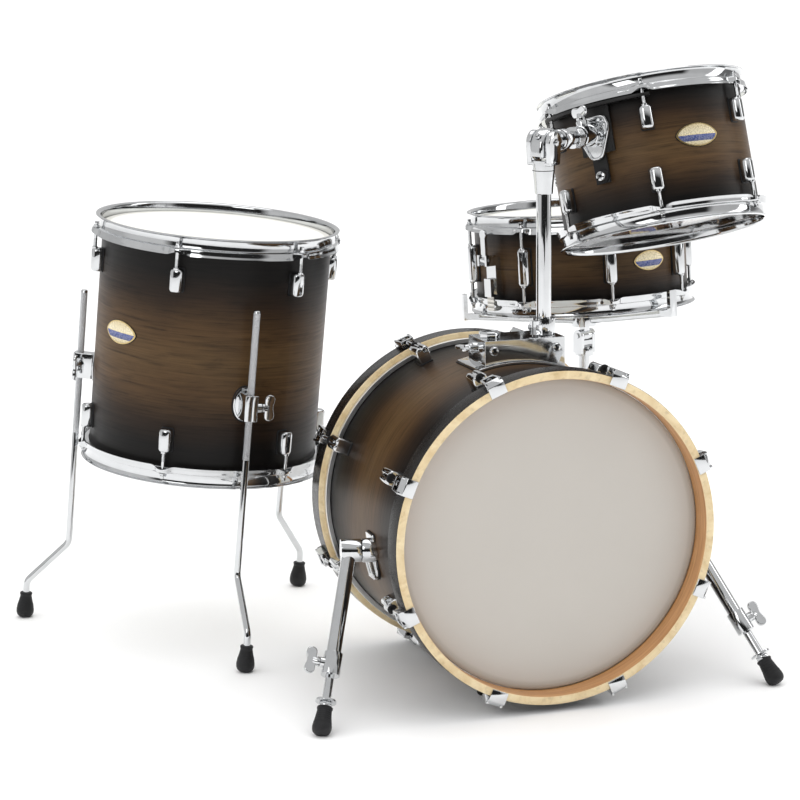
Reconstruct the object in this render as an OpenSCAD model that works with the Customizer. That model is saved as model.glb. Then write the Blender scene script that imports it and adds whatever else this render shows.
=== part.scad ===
// Four-piece acoustic drum kit: bass drum with spurs and tom holder, rack tom,
// floor tom on three legs, and snare drum on a stand. Millimetres, +Z up, floor at Z = 0.
// The bass drum faces -Y.

/* [Bass drum] */
// Radius of the bass drum shell
bass_r = 228.6; // [220:0.1:235]
// Length of the bass drum shell
bass_len = 336; // [330:1:342]
// Width of a wooden hoop along the drum
hoop_w = 38; // [36:1:40]
// Outer radius of the wooden hoops
hoop_r = 245; // [244:0.1:246]
// How far the front of the bass drum is tipped up
bass_tip = 1.7; // [1:0.1:2.5]
// Claws and lugs on each side of the bass drum
bass_lug_n = 8; // [8:1:8]

/* [Rack tom] */
// Radius of the rack tom shell
tom_r = 152.4; // [150:0.1:153]
// Length of the rack tom shell
tom_len = 203; // [195:1:210]
// Centre of the rack tom
tom_at = [311, 192, 736];
// Lean of the rack tom towards the player
tom_lean = 18.7; // [17:0.1:20]
// Compass direction of that lean
tom_lean_dir = 101.4; // [98:0.1:104]

/* [Floor tom] */
// Radius of the floor tom shell
floor_r = 177.8; // [175:0.1:180]
// Length of the floor tom shell
floor_len = 354; // [345:1:360]
// Centre of the floor tom
floor_at = [-356, 380, 460];
// Lean of the floor tom
floor_lean = 4.9; // [3:0.1:6]
// Compass direction of that lean
floor_lean_dir = -14.4; // [-20:0.1:-10]
// Distance of the straight part of a leg from the drum's axis
leg_r = 205; // [203:1:207]
// Distance of a leg's foot from the drum's axis
leg_foot_r = 270; // [262:1:275]
// Radius of a leg rod
leg_rod_r = 5.3; // [5:0.1:5.6]

/* [Snare drum] */
// Radius of the snare drum shell
snare_r = 177.8; // [175:0.1:180]
// Length of the snare drum shell
snare_len = 139.7; // [135:0.1:143]
// Centre of the snare drum
snare_at = [336, 536, 535];
// Lean of the snare drum
snare_lean = 5.1; // [4:0.1:6]
// Compass direction of that lean
snare_lean_dir = 111; // [105:1:115]

/* [Hardware] */
// Radius of the tom holder's post and arm, seven eighths of an inch across
pipe_r = 11.1; // [11:0.1:11.2]
// Sideways position of the post on the bass drum
post_x = 58; // [55:1:62]
// Height of the tilter on the post, from the bass drum's axis
tilter_h = 548; // [544:1:552]
// Height on the rack tom's axis that the arm points at, from the tom's middle
arm_root_z = 57; // [50:1:60]
// Distance of a spur's foot from the middle of the kit, sideways
spur_foot_x = 352; // [345:1:356]
// Distance of a spur's foot in front of the middle of the bass drum
spur_foot_y = 193; // [188:1:198]
// Radial clearance between a rod and the collar it slides in
slide_fit = 0.05; // [0.03:0.01:0.08]

/* [Hidden] */

// Where the kit's middle goes, so that its box is centred on the origin
kit_shift = [58, -267, 0];

// Shells and heads
shell_t = 6;
bevel = 5;
film = 0.35;
vent_r = 6;

// Tension rods, ears and lugs, measured outwards from a drum's shell
rod_out = 12.5;
rod_r = 2.75;
ear_r = 7;
lug_r = 10.5;
lug_h = 36;
lug_round = 5;
lug_drop = 36;
screw_r = 2.5;
rim_h = 14.5;

// Numbers and compass phases of the lugs
tom_lug_n = 6;
tom_phase = 6.8;
floor_lug_n = 6;
floor_phase = -3.2;
snare_lug_n = 8;
snare_phase = -7.2;

// Bass drum hardware
bass_z = hoop_r * cos(bass_tip) + (bass_len / 2 + 34) * sin(bass_tip);
hoop_in = bass_len / 2 - 4;
hoop_out = hoop_in + hoop_w;
hoop_inner_r = bass_r + 3.4;
claw_rod_r = 3;
claw_rod_at = hoop_r + 6.8;
claw_wall = 17;

// Tom mount on top of the bass drum
mount_top = bass_r + 35;
mount_w = 126;
mount_d = 70;
mount_x = post_x - 43;
spare_x = mount_x - 43;

// Spurs: pivot on the bracket, foot on the floor, and the line between them
foot_ball = 14;
spur_pivot = [262, -42, 222];
spur_foot = [spur_foot_x, -spur_foot_y, foot_ball];
spur_line = spur_foot - spur_pivot;
spur_len = norm(spur_line);
spur_tube_len = 0.72 * spur_len;
spur_yaw = atan2(spur_line[1], spur_line[0]);
spur_drop = acos(spur_line[2] / spur_len);
// The hinge is turned so that a folded spur lies straight back along the shell
spur_hinge_yaw = atan2(spur_line[0], spur_len - spur_line[1]);
spur_wing_turn = 115;

// Tom holder: the arm runs from the tilter to a point on the leaning tom's axis
function lean_axis(lean, dir) = [sin(lean) * cos(dir), sin(lean) * sin(dir), cos(lean)];
tom_axis = lean_axis(tom_lean, tom_lean_dir);
post_axis = [0, sin(bass_tip), cos(bass_tip)];
post_root = [post_x, 0, bass_z];
tilter_at = post_root + tilter_h * post_axis;
arm_line = tom_at + arm_root_z * tom_axis - tilter_at;
arm_len = norm(arm_line);
arm_yaw = atan2(arm_line[1], arm_line[0]);
arm_rise = asin(arm_line[2] / arm_len);
arm_end = arm_len - tom_r - 16;

// The arm seen in the leaning tom's own frame: its compass direction, its dip and where it meets the bracket
function turn_z(v, a) = [v[0] * cos(a) - v[1] * sin(a), v[0] * sin(a) + v[1] * cos(a), v[2]];
function turn_y(v, a) = [v[0] * cos(a) + v[2] * sin(a), v[1], -v[0] * sin(a) + v[2] * cos(a)];
function into_lean(v, lean, dir) = turn_z(turn_y(turn_z(v, -dir), -lean), dir);
arm_in_tom = into_lean(-arm_line, tom_lean, tom_lean_dir);
bracket_dir = atan2(arm_in_tom[1], arm_in_tom[0]);
arm_dip = asin(arm_in_tom[2] / arm_len);
kite_z = arm_root_z + (tom_r + 12) * tan(arm_dip);

// Floor tom legs, in the order left, front, back
leg_dirs = [153.5, -86.5, 33.5];
leg_clamp_z = -60;
leg_top = 530;
leg_knee = 118;
leg_heel = 46;
leg_bend = 22;

// Snare strainer and stand
strainer_dir = snare_phase + 22.5 - 180;
stand_dirs = [173, -67, 53];
base_dirs = [71, 191, -49];
basket_drop = snare_len / 2 + rim_h;
stand_axis = lean_axis(snare_lean, snare_lean_dir);
stand_head = snare_at - (basket_drop + 52) * stand_axis;

// ---- Frames and repeats ----

module in_kit() translate(kit_shift) children();

// Leans what follows over towards a compass direction without turning it
module leaning(lean, dir) rotate([0, 0, dir]) rotate([0, lean, 0]) rotate([0, 0, -dir]) children();

module in_bass() in_kit() translate([0, 0, bass_z]) rotate([90 - bass_tip, 0, 0]) children();
module on_bass() in_kit() translate([0, 0, bass_z]) rotate([-bass_tip, 0, 0]) children();
module in_tom() in_kit() translate(tom_at) leaning(tom_lean, tom_lean_dir) children();
module in_floor() in_kit() translate(floor_at) leaning(floor_lean, floor_lean_dir) children();
module in_snare() in_kit() translate(snare_at) leaning(snare_lean, snare_lean_dir) children();
module in_spur() in_kit() translate(spur_pivot) rotate([0, spur_drop, spur_yaw]) children();
module in_spur_hinge() translate(spur_pivot) rotate([0, 90, spur_hinge_yaw]) children();
module in_tilter() in_kit() translate(tilter_at) rotate([0, 0, arm_yaw]) children();
module in_arm() in_kit() translate(tilter_at) rotate([0, -arm_rise, arm_yaw]) children();
module in_stand() in_kit() translate([stand_head[0], stand_head[1], 0]) children();
module on_stand_pin() rotate([0, 0, snare_lean_dir - 180]) children();

module ring(n, phase) for (i = [0:n - 1]) rotate([0, 0, phase + i * 360 / n]) children();

// Repeats what follows at both ends of a drum
module both_ends(half) {
  translate([0, 0, half]) children();
  mirror([0, 0, 1]) translate([0, 0, half]) children();
}

// Mirrors what follows to the left side of the kit
module left_side() in_kit() mirror([1, 0, 0]) translate(-kit_shift) children();

// ---- Shapes that several drums share ----

module radial_rod(r, from, to) translate([from, 0, 0]) rotate([0, 90, 0]) cylinder(r = r, h = to - from, $fn = 32);

// A shell with 45 degree bearing edges
module drum_shell(r, len) rotate_extrude($fn = 128) polygon([
  [r - shell_t, bevel - len / 2], [r - 1.5, -len / 2], [r, 1.5 - len / 2],
  [r, len / 2 - 1.5], [r - 1.5, len / 2], [r - shell_t, len / 2 - bevel]]);

module screw_holes(r, n, phase, heights)
  for (z = heights) ring(n, phase) translate([0, 0, z]) radial_rod(screw_r + 0.6, r - shell_t - 5, r + 5);

// A film stretched over the edge and held in its metal flesh hoop; Z = 0 at the bearing edge
module drum_head(r) rotate_extrude($fn = 128) polygon([
  [0, 0], [r + 1, 0], [r + 1, -12.5], [r + 7.6, -12.5], [r + 7.6, -6.1], [r + 3, -6.1], [r + 2, film], [0, film]]);

// Triple-flanged steel hoop with an ear for each rod; Z = 0 at the bearing edge
module steel_hoop(r, n, phase) difference() {
  union() {
    rotate_extrude($fn = 128) polygon([for (p = [
      [3.4, -6], [3.4, rim_h - 3], [6, rim_h], [11.5, rim_h], [11.5, rim_h - 2], [7.2, rim_h - 2],
      [5.4, rim_h - 3.8], [5.4, -4.3], [10, -4.3], [10, -12.6], [13, -14], [13, -16], [8, -13.7], [8, -6]])
      [r + p[0], p[1]]]);
    difference() {
      ring(n, phase) translate([r + rod_out, 0, -13.2]) cylinder(r = ear_r, h = 9.2, $fn = 32);
      translate([0, 0, -20]) cylinder(r = r + 9, h = 30, $fn = 128);
    }
  }
  ring(n, phase) translate([r + rod_out, 0, -20]) cylinder(r = rod_r + 0.4, h = 30, $fn = 24);
}

// Key rod with its washer; Z = 0 on top of the hoop's ear
module tension_rod(len) {
  cylinder(r = 5.4, h = 1, $fn = 24);
  translate([0, 0, 1]) cylinder(r = 3.9, h = 2.5, $fn = 24);
  translate([-2.6, -2.6, 3]) cube([5.2, 5.2, 6]);
  translate([0, 0, -len]) cylinder(r = rod_r, h = len + 0.5, $fn = 24);
}

// Upright barrel with rounded ends, from Z = 0 to h
module barrel(r, h, c) {
  translate([0, 0, c]) cylinder(r = r, h = h - 2 * c, $fn = 48);
  cylinder(r = r - c, h = h, $fn = 48);
  for (z = [c, h - c]) translate([0, 0, z]) rotate_extrude($fn = 48) translate([r - c, 0]) circle(c, $fn = 32);
}

// Lug from z down to z - h, bored for its rods from both ends or one, with its screw inside the shell
module drum_lug(r, z, h, bored) {
  difference() {
    translate([r + 7, 0, z - h]) barrel(lug_r, h, lug_round);
    translate([0, 0, z - h - 1]) cylinder(r = r + 0.05, h = h + 2, $fn = 128);
    translate([r + rod_out, 0, z - 16]) cylinder(r = rod_r + 0.3, h = 20, $fn = 24);
    if (bored == "both") translate([r + rod_out, 0, z - h - 4]) cylinder(r = rod_r + 0.3, h = 20, $fn = 24);
  }
  translate([0, 0, z - h / 2]) {
    radial_rod(screw_r, r - shell_t - 3, r + 1);
    radial_rod(5, r - shell_t - 3, r - shell_t - 0.2);
  }
}

// Bent lens-shaped badge on the shell, where two round bars through the shell cross
module drum_badge(r, dir, z, half_w, half_h) {
  arc_r = (half_w * half_w + half_h * half_h) / (2 * half_h);
  intersection() {
    difference() {
      translate([0, 0, z - 2 * half_h]) cylinder(r = r + 1.4, h = 4 * half_h, $fn = 128);
      translate([0, 0, z - 3 * half_h]) cylinder(r = r + 0.05, h = 6 * half_h, $fn = 128);
    }
    rotate([0, 0, dir]) translate([0, 0, z + arc_r - half_h]) radial_rod(arc_r, r - 20, r + 10);
    rotate([0, 0, dir]) translate([0, 0, z - arc_r + half_h]) radial_rod(arc_r, r - 20, r + 10);
  }
}

// Wing bolt; Z = 0 at the boss, the shank goes down by len
module wing_bolt(len) {
  translate([0, 0, -len]) cylinder(r = 4, h = len + 1, $fn = 24);
  translate([0, 0, 0.5]) cylinder(r = 7, h = 9, $fn = 32);
  for (s = [-1, 1]) translate([s * 13, 0, 13]) rotate([90, 0, 0]) cylinder(r = 8, h = 5, center = true, $fn = 32);
  translate([-13, -2.5, 5]) cube([26, 5, 9]);
}

// Rubber foot on a ball; Z = 0 at the ball's middle, with a socket for the rod
module rubber_foot(len, top_r, socket_r, socket_z) difference() {
  union() {
    sphere(r = foot_ball, $fn = 48);
    cylinder(r1 = foot_ball, r2 = top_r, h = len, $fn = 48);
  }
  translate([0, 0, socket_z]) cylinder(r = socket_r, h = len, $fn = 32);
}

// ---- Bass drum ----

module bass_shell() color("saddlebrown") difference() {
  in_bass() drum_shell(bass_r, bass_len);
  in_bass() screw_holes(bass_r, bass_lug_n, 22.5, [-lug_mid, lug_mid]);
  on_bass() for (x = [post_x, spare_x]) translate([x, 0, bass_r - 40]) cylinder(r = pipe_r + 2, h = 60, $fn = 48);
  in_bass() rotate([0, 0, -90]) translate([0, 0, -60]) radial_rod(vent_r, bass_r - 20, bass_r + 5);
  in_kit() for (s = [-1, 1]) spur_bolts(s, screw_r + 1.1);
}

// Two bolts hold each spur bracket
module spur_bolts(s, r)
  for (dz = [-17, 17]) translate([s * (bass_r - 20), spur_pivot[1], spur_pivot[2] + dz])
    rotate([0, s * 90, 0]) cylinder(r = r, h = 24, $fn = 24);

module bass_hoops() color("wheat") in_bass() both_ends(hoop_in) rotate_extrude($fn = 160) polygon([
  [hoop_inner_r, 1], [hoop_inner_r + 1, 0], [hoop_r - 1, 0], [hoop_r, 1],
  [hoop_r, hoop_w - 2], [hoop_r - 2, hoop_w], [hoop_inner_r + 2, hoop_w], [hoop_inner_r, hoop_w - 2]]);

// Bass head; Z = 0 at the bearing edge, the wooden hoop presses on its flesh hoop
module bass_head() rotate_extrude($fn = 160) polygon([
  [0, 0], [bass_r + 0.9, 0], [bass_r + 0.9, -13], [bass_r + 8, -13], [bass_r + 8, -4.2],
  [bass_r + 2.9, -4.2], [bass_r + 2.2, film], [0, film]]);

module bass_resonant_head() color("gainsboro") in_bass() translate([0, 0, bass_len / 2]) bass_head();
module bass_batter_head() color("whitesmoke") in_bass() mirror([0, 0, 1]) translate([0, 0, bass_len / 2]) bass_head();

lug_from = bass_len / 2 - 60;
lug_to = bass_len / 2 - 24;
lug_mid = (lug_from + lug_to) / 2;

// Twin-barrel lug at one end of the bass drum
module bass_lug() {
  difference() {
    union() {
      translate([bass_r - 2, -8, lug_from + 2]) cube([21, 16, lug_to - lug_from - 4]);
      for (y = [-4, 4]) translate([bass_r + 20, y, lug_from]) barrel(7.5, lug_to - lug_from, 2.5);
    }
    cylinder(r = bass_r + 0.05, h = bass_len, $fn = 128);
    translate([claw_rod_at, 0, lug_from + 10]) cylinder(r = claw_rod_r + 0.3, h = 60, $fn = 24);
  }
  translate([0, 0, lug_mid]) {
    radial_rod(screw_r, bass_r - shell_t - 3, bass_r + 1);
    radial_rod(6, bass_r - shell_t - 3, bass_r - shell_t - 0.2);
  }
}

module bass_lugs() color("silver") in_bass() both_ends(0) ring(bass_lug_n, 22.5) bass_lug();

// Claw hooked over a hoop, with a pocket for its key bolt
module claw() difference() {
  rotate([90, 0, 0]) linear_extrude(height = 26, center = true) polygon([
    [hoop_r - 12, hoop_out + 0.3], [hoop_r - 12, hoop_out + 2.8], [hoop_r + 5, hoop_out + 2.8],
    [hoop_r + 12, hoop_out - 8], [hoop_r + 12, hoop_out - 30], [hoop_r + 0.3, hoop_out - 30],
    [hoop_r + 0.3, hoop_out + 0.3]]);
  translate([hoop_r + 1.8, -8, hoop_out - 21]) cube([20, 16, 40]);
  translate([claw_rod_at, 0, hoop_out - 40]) cylinder(r = claw_rod_r + 0.4, h = 30, $fn = 24);
}

module bass_claws() color("silver") in_bass() both_ends(0) ring(bass_lug_n, 22.5) claw();

// Claw bolt from its head in the pocket to the lug's thread
module bass_rods() color("gray") in_bass() both_ends(0) ring(bass_lug_n, 22.5)
  translate([claw_rod_at, 0, hoop_out - 21]) {
    cylinder(r = 4.8, h = 1.5, $fn = 32);
    translate([0, 0, 1]) cylinder(r = 4.4, h = 2.5, $fn = 32);
    translate([-3, -3, 3]) cube([6, 6, 9]);
    translate([0, 0, lug_from + 12 - hoop_out + 21]) cylinder(r = claw_rod_r, h = hoop_out - 19 - lug_from - 12, $fn = 24);
  }

// Cast box on a saddle, with two upright receivers for holder posts
module tom_mount() color("silver") on_bass() difference() {
  union() {
    intersection() {
      rotate([90, 0, 0]) cylinder(r = bass_r + 4, h = mount_d + 24, center = true, $fn = 128);
      translate([mount_x - mount_w / 2 - 14, -mount_d / 2 - 12, 120]) cube([mount_w + 28, mount_d + 24, 160]);
    }
    difference() {
      translate([mount_x - mount_w / 2, -mount_d / 2, bass_r - 40]) cube([mount_w, mount_d, mount_top - bass_r + 40]);
      translate([mount_x - mount_w / 2 + 5, -mount_d / 2 + 5, 0]) cube([mount_w - 10, mount_d - 10, mount_top - 5]);
    }
    for (x = [post_x, spare_x]) translate([x, 0, bass_r - 40]) cylinder(r = pipe_r + 6, h = mount_top - bass_r + 40, $fn = 64);
    for (x = [post_x + 6, spare_x - 6]) translate([x, -mount_d / 2 - 2, bass_r + 20])
      rotate([-90, 0, 0]) cylinder(r = 6.5, h = 4, $fn = 32);
    translate([mount_x - mount_w / 2 - 8, 0, mount_top - 14]) rotate([0, 90, 0]) cylinder(r = 8, h = 12, $fn = 32);
  }
  rotate([90, 0, 0]) cylinder(r = bass_r + 0.05, h = 200, center = true, $fn = 128);
  for (x = [post_x, spare_x]) translate([x, 0, 100]) cylinder(r = pipe_r + slide_fit, h = 200, $fn = 64);
  for (x = [post_x + 6, spare_x - 6]) translate([x - 4, -mount_d / 2 - 3, bass_r + 19]) cube([8, 2, 2]);
  translate([mount_x - mount_w / 2 - 20, 0, mount_top - 14]) rotate([0, 90, 0])
    cylinder(r = 4.4, h = spare_x - mount_x + mount_w / 2 + 10, $fn = 24);
}

module mount_wing_bolt() color("silver") on_bass()
  translate([mount_x - mount_w / 2 - 8.5, 0, mount_top - 14]) rotate([0, -90, 0]) rotate([0, 0, 90]) wing_bolt(16.6);

// ---- Spurs ----

module spur_bracket() {
  difference() {
    union() {
      translate([bass_r - 12, spur_pivot[1] - 15, spur_pivot[2] - 27]) cube([16, 30, 54]);
      in_spur_hinge() translate([0, 0, -44]) cylinder(r = 19, h = 27.6, $fn = 48);
      for (s = [-1, 1]) translate([bass_r - 4, spur_pivot[1] + 20, spur_pivot[2]]) rotate([s * 24, 0, 0])
        translate([0, -4, 0]) cube([14, 8, s > 0 ? 26 : 20]);
    }
    translate([0, 0, bass_z]) rotate([90 - bass_tip, 0, 0]) cylinder(r = bass_r + 0.05, h = 500, center = true, $fn = 128);
  }
  spur_bolts(1, screw_r);
}

module spur_brackets() color("silver") {
  in_kit() spur_bracket();
  in_kit() mirror([1, 0, 0]) spur_bracket();
}

// Sideways axis of the clamp collar's wing bolt
module on_spur_collar() translate([0, 0, spur_tube_len - 17]) rotate([0, 90, spur_wing_turn]) children();

// Pivot head, outer tube and clamp collar; the tube runs along +Z from the pivot
module spur_tube() {
  in_kit() in_spur_hinge() translate([0, 0, -16]) cylinder(r = 17, h = 29, $fn = 48);
  in_spur() difference() {
    union() {
      cylinder(r = 10.5, h = spur_tube_len, $fn = 48);
      translate([0, 0, spur_tube_len - 34]) cylinder(r = 13.5, h = 34, $fn = 48);
      on_spur_collar() cylinder(r = 7.5, h = 18, $fn = 32);
    }
    translate([0, 0, 22]) cylinder(r = 6.3 + slide_fit, h = spur_len, $fn = 48);
    on_spur_collar() cylinder(r = 4.4, h = 30, $fn = 24);
  }
}

module spur_rod() in_spur() translate([0, 0, spur_tube_len - 90]) {
  cylinder(r = 6.3, h = spur_len - spur_tube_len + 90 - 24, $fn = 48);
  translate([0, 0, spur_len - spur_tube_len + 90 - 38.2]) cylinder(r = 15, h = 3, $fn = 48);
}

// The foot's ball stands on the floor
module spur_foot() in_spur() translate([0, 0, spur_len]) rotate([180, 0, 0]) rubber_foot(35, 11, 6.35, 23.9);

module spur_wing() in_spur() on_spur_collar() translate([0, 0, 18.5]) wing_bolt(11.4);

module spur_tube_right() color("silver") spur_tube();
module spur_tube_left() color("silver") left_side() spur_tube();
module spur_rod_right() color("silver") spur_rod();
module spur_rod_left() color("silver") left_side() spur_rod();
module spur_foot_right() color("black") spur_foot();
module spur_foot_left() color("black") left_side() spur_foot();
module spur_wing_right() color("silver") spur_wing();
module spur_wing_left() color("silver") left_side() spur_wing();

// ---- Tom holder ----

lock_h = 24;
post_top = tilter_h - 34;

// Split ring that keeps the post's height, resting on the mount
module memory_lock() color("silver") on_bass() translate([post_x, 0, mount_top + 0.4]) difference() {
  union() {
    cylinder(r = pipe_r + 6, h = lock_h, $fn = 64);
    rotate([0, 0, 215]) translate([pipe_r, -6, 2]) cube([18, 12, lock_h - 4]);
    rotate([0, 0, 215]) translate([pipe_r + 12, 0, lock_h / 2]) rotate([90, 0, 0]) cylinder(r = 4.5, h = 20, center = true, $fn = 32);
  }
  translate([0, 0, -1]) cylinder(r = pipe_r + slide_fit, h = 60, $fn = 64);
  rotate([0, 0, 215]) translate([pipe_r - 3, -0.8, -1]) cube([26, 1.6, lock_h + 2]);
}

module holder_post() color("silver") on_bass() difference() {
  translate([post_x, 0, mount_top - 104]) cylinder(r = pipe_r, h = post_top - mount_top + 104, $fn = 64);
  translate([post_x, 0, mount_top - 105]) cylinder(r = pipe_r - 2.2, h = post_top - mount_top + 100, $fn = 64);
}

// Fork of the tilter, clamped on top of the post
module tilter_body() color("silver") {
  on_bass() translate([post_x, 0, post_top - 42]) difference() {
    cylinder(r = pipe_r + 5.5, h = 50, $fn = 64);
    translate([0, 0, -1]) cylinder(r = pipe_r + 0.02, h = 43.05, $fn = 64);
  }
  in_tilter() {
    for (s = [-1, 1]) translate([0, s * 16.2, 0]) rotate([90, 0, 0]) cylinder(r = 25, h = 8.5, center = true, $fn = 64);
    for (s = [-1, 1]) translate([-13, s * 16.2 - 4.25, -38]) cube([26, 8.5, 38]);
    translate([-13, -19, -33.4]) cube([26, 38, 6.9]);
    rotate([90, 0, 0]) cylinder(r = 6, h = 46, center = true, $fn = 32);
    for (s = [-1, 1]) translate([0, s * 22.5, 0]) rotate([90, 0, 0]) cylinder(r = 10, h = 5, center = true, $fn = 32);
  }
}

// Eye disc of the tilter with the arm that the tom slides on
module tom_arm() color("silver") in_arm() difference() {
  union() {
    rotate([90, 0, 0]) cylinder(r = 24.5, h = 22.4, center = true, $fn = 64);
    radial_rod(pipe_r, 10, arm_end);
    radial_rod(pipe_r + 5, 34, 62);
  }
  rotate([90, 0, 0]) cylinder(r = 6 + slide_fit, h = 60, center = true, $fn = 32);
}

// ---- Rack tom ----

tom_half = tom_len / 2;
tom_screws = [lug_drop + lug_h / 2 - tom_half, tom_half - lug_drop - lug_h / 2];

module tom_shell() color("saddlebrown") in_tom() difference() {
  drum_shell(tom_r, tom_len);
  screw_holes(tom_r, tom_lug_n, tom_phase, tom_screws);
  rotate([0, 0, tom_phase + 150]) radial_rod(vent_r, tom_r - 20, tom_r + 5);
}

module tom_batter_head() color("whitesmoke") in_tom() translate([0, 0, tom_half]) drum_head(tom_r);
module tom_clear_head() color("lightgray") in_tom() mirror([0, 0, 1]) translate([0, 0, tom_half]) drum_head(tom_r);
module tom_hoops() color("silver") in_tom() both_ends(tom_half) steel_hoop(tom_r, tom_lug_n, tom_phase);
module tom_lugs() color("silver") in_tom() both_ends(tom_half) ring(tom_lug_n, tom_phase) drum_lug(tom_r, -lug_drop, lug_h, "one");
module tom_rods() color("gray") in_tom() both_ends(tom_half) ring(tom_lug_n, tom_phase)
  translate([tom_r + rod_out, 0, -4]) tension_rod(44);

strip_span = 360 / tom_lug_n + 7;
strip_mid = tom_phase + 180 + 360 / tom_lug_n / 2;
kite_lower_bolt = kite_z - 64;

// Strip hung from two rods, with the backing plate that carries the bracket
module tom_suspension() color("black") in_tom() difference() {
  union() {
    rotate([0, 0, strip_mid - strip_span / 2]) rotate_extrude(angle = strip_span, $fn = 128)
      translate([tom_r + 4, tom_half - 23]) square([14, 5]);
    rotate([0, 0, bracket_dir - 10]) rotate_extrude(angle = 20, $fn = 128)
      translate([tom_r + 4.5, kite_z - 30]) square([4.5, tom_half + 10 - kite_z]);
    rotate([0, 0, bracket_dir]) translate([tom_r + 4.4, -12, kite_lower_bolt - 11])
      cube([3.6, 24, kite_z - 16 - kite_lower_bolt]);
  }
  ring(tom_lug_n, tom_phase) translate([tom_r + rod_out, 0, 0]) cylinder(r = rod_r + 0.4, h = tom_half, $fn = 24);
  rotate([0, 0, bracket_dir]) translate([0, 0, kite_lower_bolt]) radial_rod(4.2, tom_r, tom_r + 12);
}

module along_arm() translate([0, 0, arm_root_z]) rotate([0, -arm_dip, 0]) children();

// Kite-shaped plate with the arm's socket, and the lower bolt's head
module tom_bracket() color("silver") in_tom() rotate([0, 0, bracket_dir]) {
  difference() {
    union() {
      translate([tom_r + 9.3, 0, kite_z]) rotate([90, 0, 90]) linear_extrude(height = 5)
        polygon([[-22, 26], [22, 26], [30, 8], [9, -40], [-9, -40], [-30, 8]]);
      along_arm() radial_rod(pipe_r + 5.5, tom_r + 14, tom_r + 60);
      along_arm() translate([tom_r + 41.5, 0, 12]) cylinder(r = 8.5, h = 12, $fn = 32);
    }
    along_arm() radial_rod(pipe_r + slide_fit, tom_r + 15.5, tom_r + 80);
    along_arm() translate([tom_r + 41.5, 0, 0]) cylinder(r = 4.4, h = 40, $fn = 24);
  }
  translate([0, 0, kite_lower_bolt]) {
    radial_rod(4, tom_r + 1.5, tom_r + 12);
    radial_rod(8, tom_r + 9.3, tom_r + 16);
  }
}

module tom_wing_bolt() color("silver") in_tom() rotate([0, 0, bracket_dir]) along_arm()
  translate([tom_r + 41.5, 0, 24.5]) rotate([0, 0, 60]) wing_bolt(12.6);

module tom_badge() color("gold") in_tom() drum_badge(tom_r, -85, 12, 37, 18.5);

// ---- Floor tom ----

floor_half = floor_len / 2;
floor_screws = [lug_drop + lug_h / 2 - floor_half, floor_half - lug_drop - lug_h / 2];

// Height of a foot's ball in the leaning drum's frame
function foot_z(dir) =
  (foot_ball - floor_at[2] + sin(floor_lean) * cos(dir - floor_lean_dir) * leg_foot_r) / cos(floor_lean);

module floor_shell() color("saddlebrown") in_floor() difference() {
  drum_shell(floor_r, floor_len);
  screw_holes(floor_r, floor_lug_n, floor_phase, floor_screws);
  for (d = leg_dirs, dz = [-14, 14]) rotate([0, 0, d]) translate([0, 0, leg_clamp_z + dz])
    radial_rod(screw_r + 0.6, floor_r - 20, floor_r + 5);
  rotate([0, 0, 86.8]) radial_rod(vent_r, floor_r - 20, floor_r + 5);
}

module floor_heads() color("whitesmoke") in_floor() both_ends(floor_half) drum_head(floor_r);
module floor_hoops() color("silver") in_floor() both_ends(floor_half) steel_hoop(floor_r, floor_lug_n, floor_phase);
module floor_lugs() color("silver") in_floor() both_ends(floor_half) ring(floor_lug_n, floor_phase)
  drum_lug(floor_r, -lug_drop, lug_h, "one");
module floor_rods() color("gray") in_floor() both_ends(floor_half) ring(floor_lug_n, floor_phase)
  translate([floor_r + rod_out, 0, -4]) tension_rod(44);
module floor_badge() color("gold") in_floor() drum_badge(floor_r, -156, 26, 37, 18.5);

// Leg bracket with its clamp, bolts and the boss of its wing bolt
module leg_bracket() {
  difference() {
    union() {
      radial_rod(24, floor_r - 2, floor_r + 7);
      translate([floor_r + 4, -10, -19]) cube([leg_r - floor_r - 6, 20, 38]);
      translate([leg_r, 0, -23]) cylinder(r = leg_rod_r + 5.5, h = 46, $fn = 48);
      translate([leg_r, 6, 0]) rotate([-90, 0, 0]) cylinder(r = 8, h = 12, $fn = 32);
    }
    translate([0, 0, -40]) cylinder(r = floor_r + 0.05, h = 80, $fn = 128);
    translate([leg_r, 0, -40]) cylinder(r = leg_rod_r + slide_fit, h = 80, $fn = 48);
    translate([leg_r, 0, 0]) rotate([-90, 0, 0]) cylinder(r = 4.4, h = 40, $fn = 24);
  }
  for (dz = [-14, 14]) translate([0, 0, dz]) {
    radial_rod(screw_r, floor_r - shell_t - 3, floor_r + 3);
    radial_rod(5, floor_r - shell_t - 3, floor_r - shell_t - 0.2);
  }
}

module floor_brackets() color("silver") in_floor() for (d = leg_dirs) rotate([0, 0, d])
  translate([0, 0, leg_clamp_z]) leg_bracket();

// Round rod through a list of points, with a ball a hair thicker than the rod at each corner
module rod_through(points, r) for (i = [1:len(points) - 1]) {
  step = points[i] - points[i - 1];
  translate(points[i - 1]) rotate([0, acos(step[2] / norm(step)), atan2(step[1], step[0])])
    cylinder(r = r, h = norm(step), $fn = 32);
  translate(points[i]) sphere(r = r + 0.1, $fn = 32);
}

// Bent rod drawn from its foot at Z = 0: foot end set outwards, two bends, straight top
module leg_rod() {
  run = leg_foot_r - leg_r;
  lean = atan2(run, leg_knee - leg_heel);
  cut = leg_bend * tan(lean / 2);
  rod_through([
    [leg_foot_r, 0, 10],
    for (a = [0:lean / 3:lean + 0.1]) [leg_foot_r - leg_bend * (1 - cos(a)), 0, leg_heel - cut + leg_bend * sin(a)],
    for (a = [lean:-lean / 3:-0.1]) [leg_r + leg_bend * (1 - cos(a)), 0, leg_knee + cut - leg_bend * sin(a)],
    [leg_r, 0, leg_top]], leg_rod_r);
}

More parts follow.
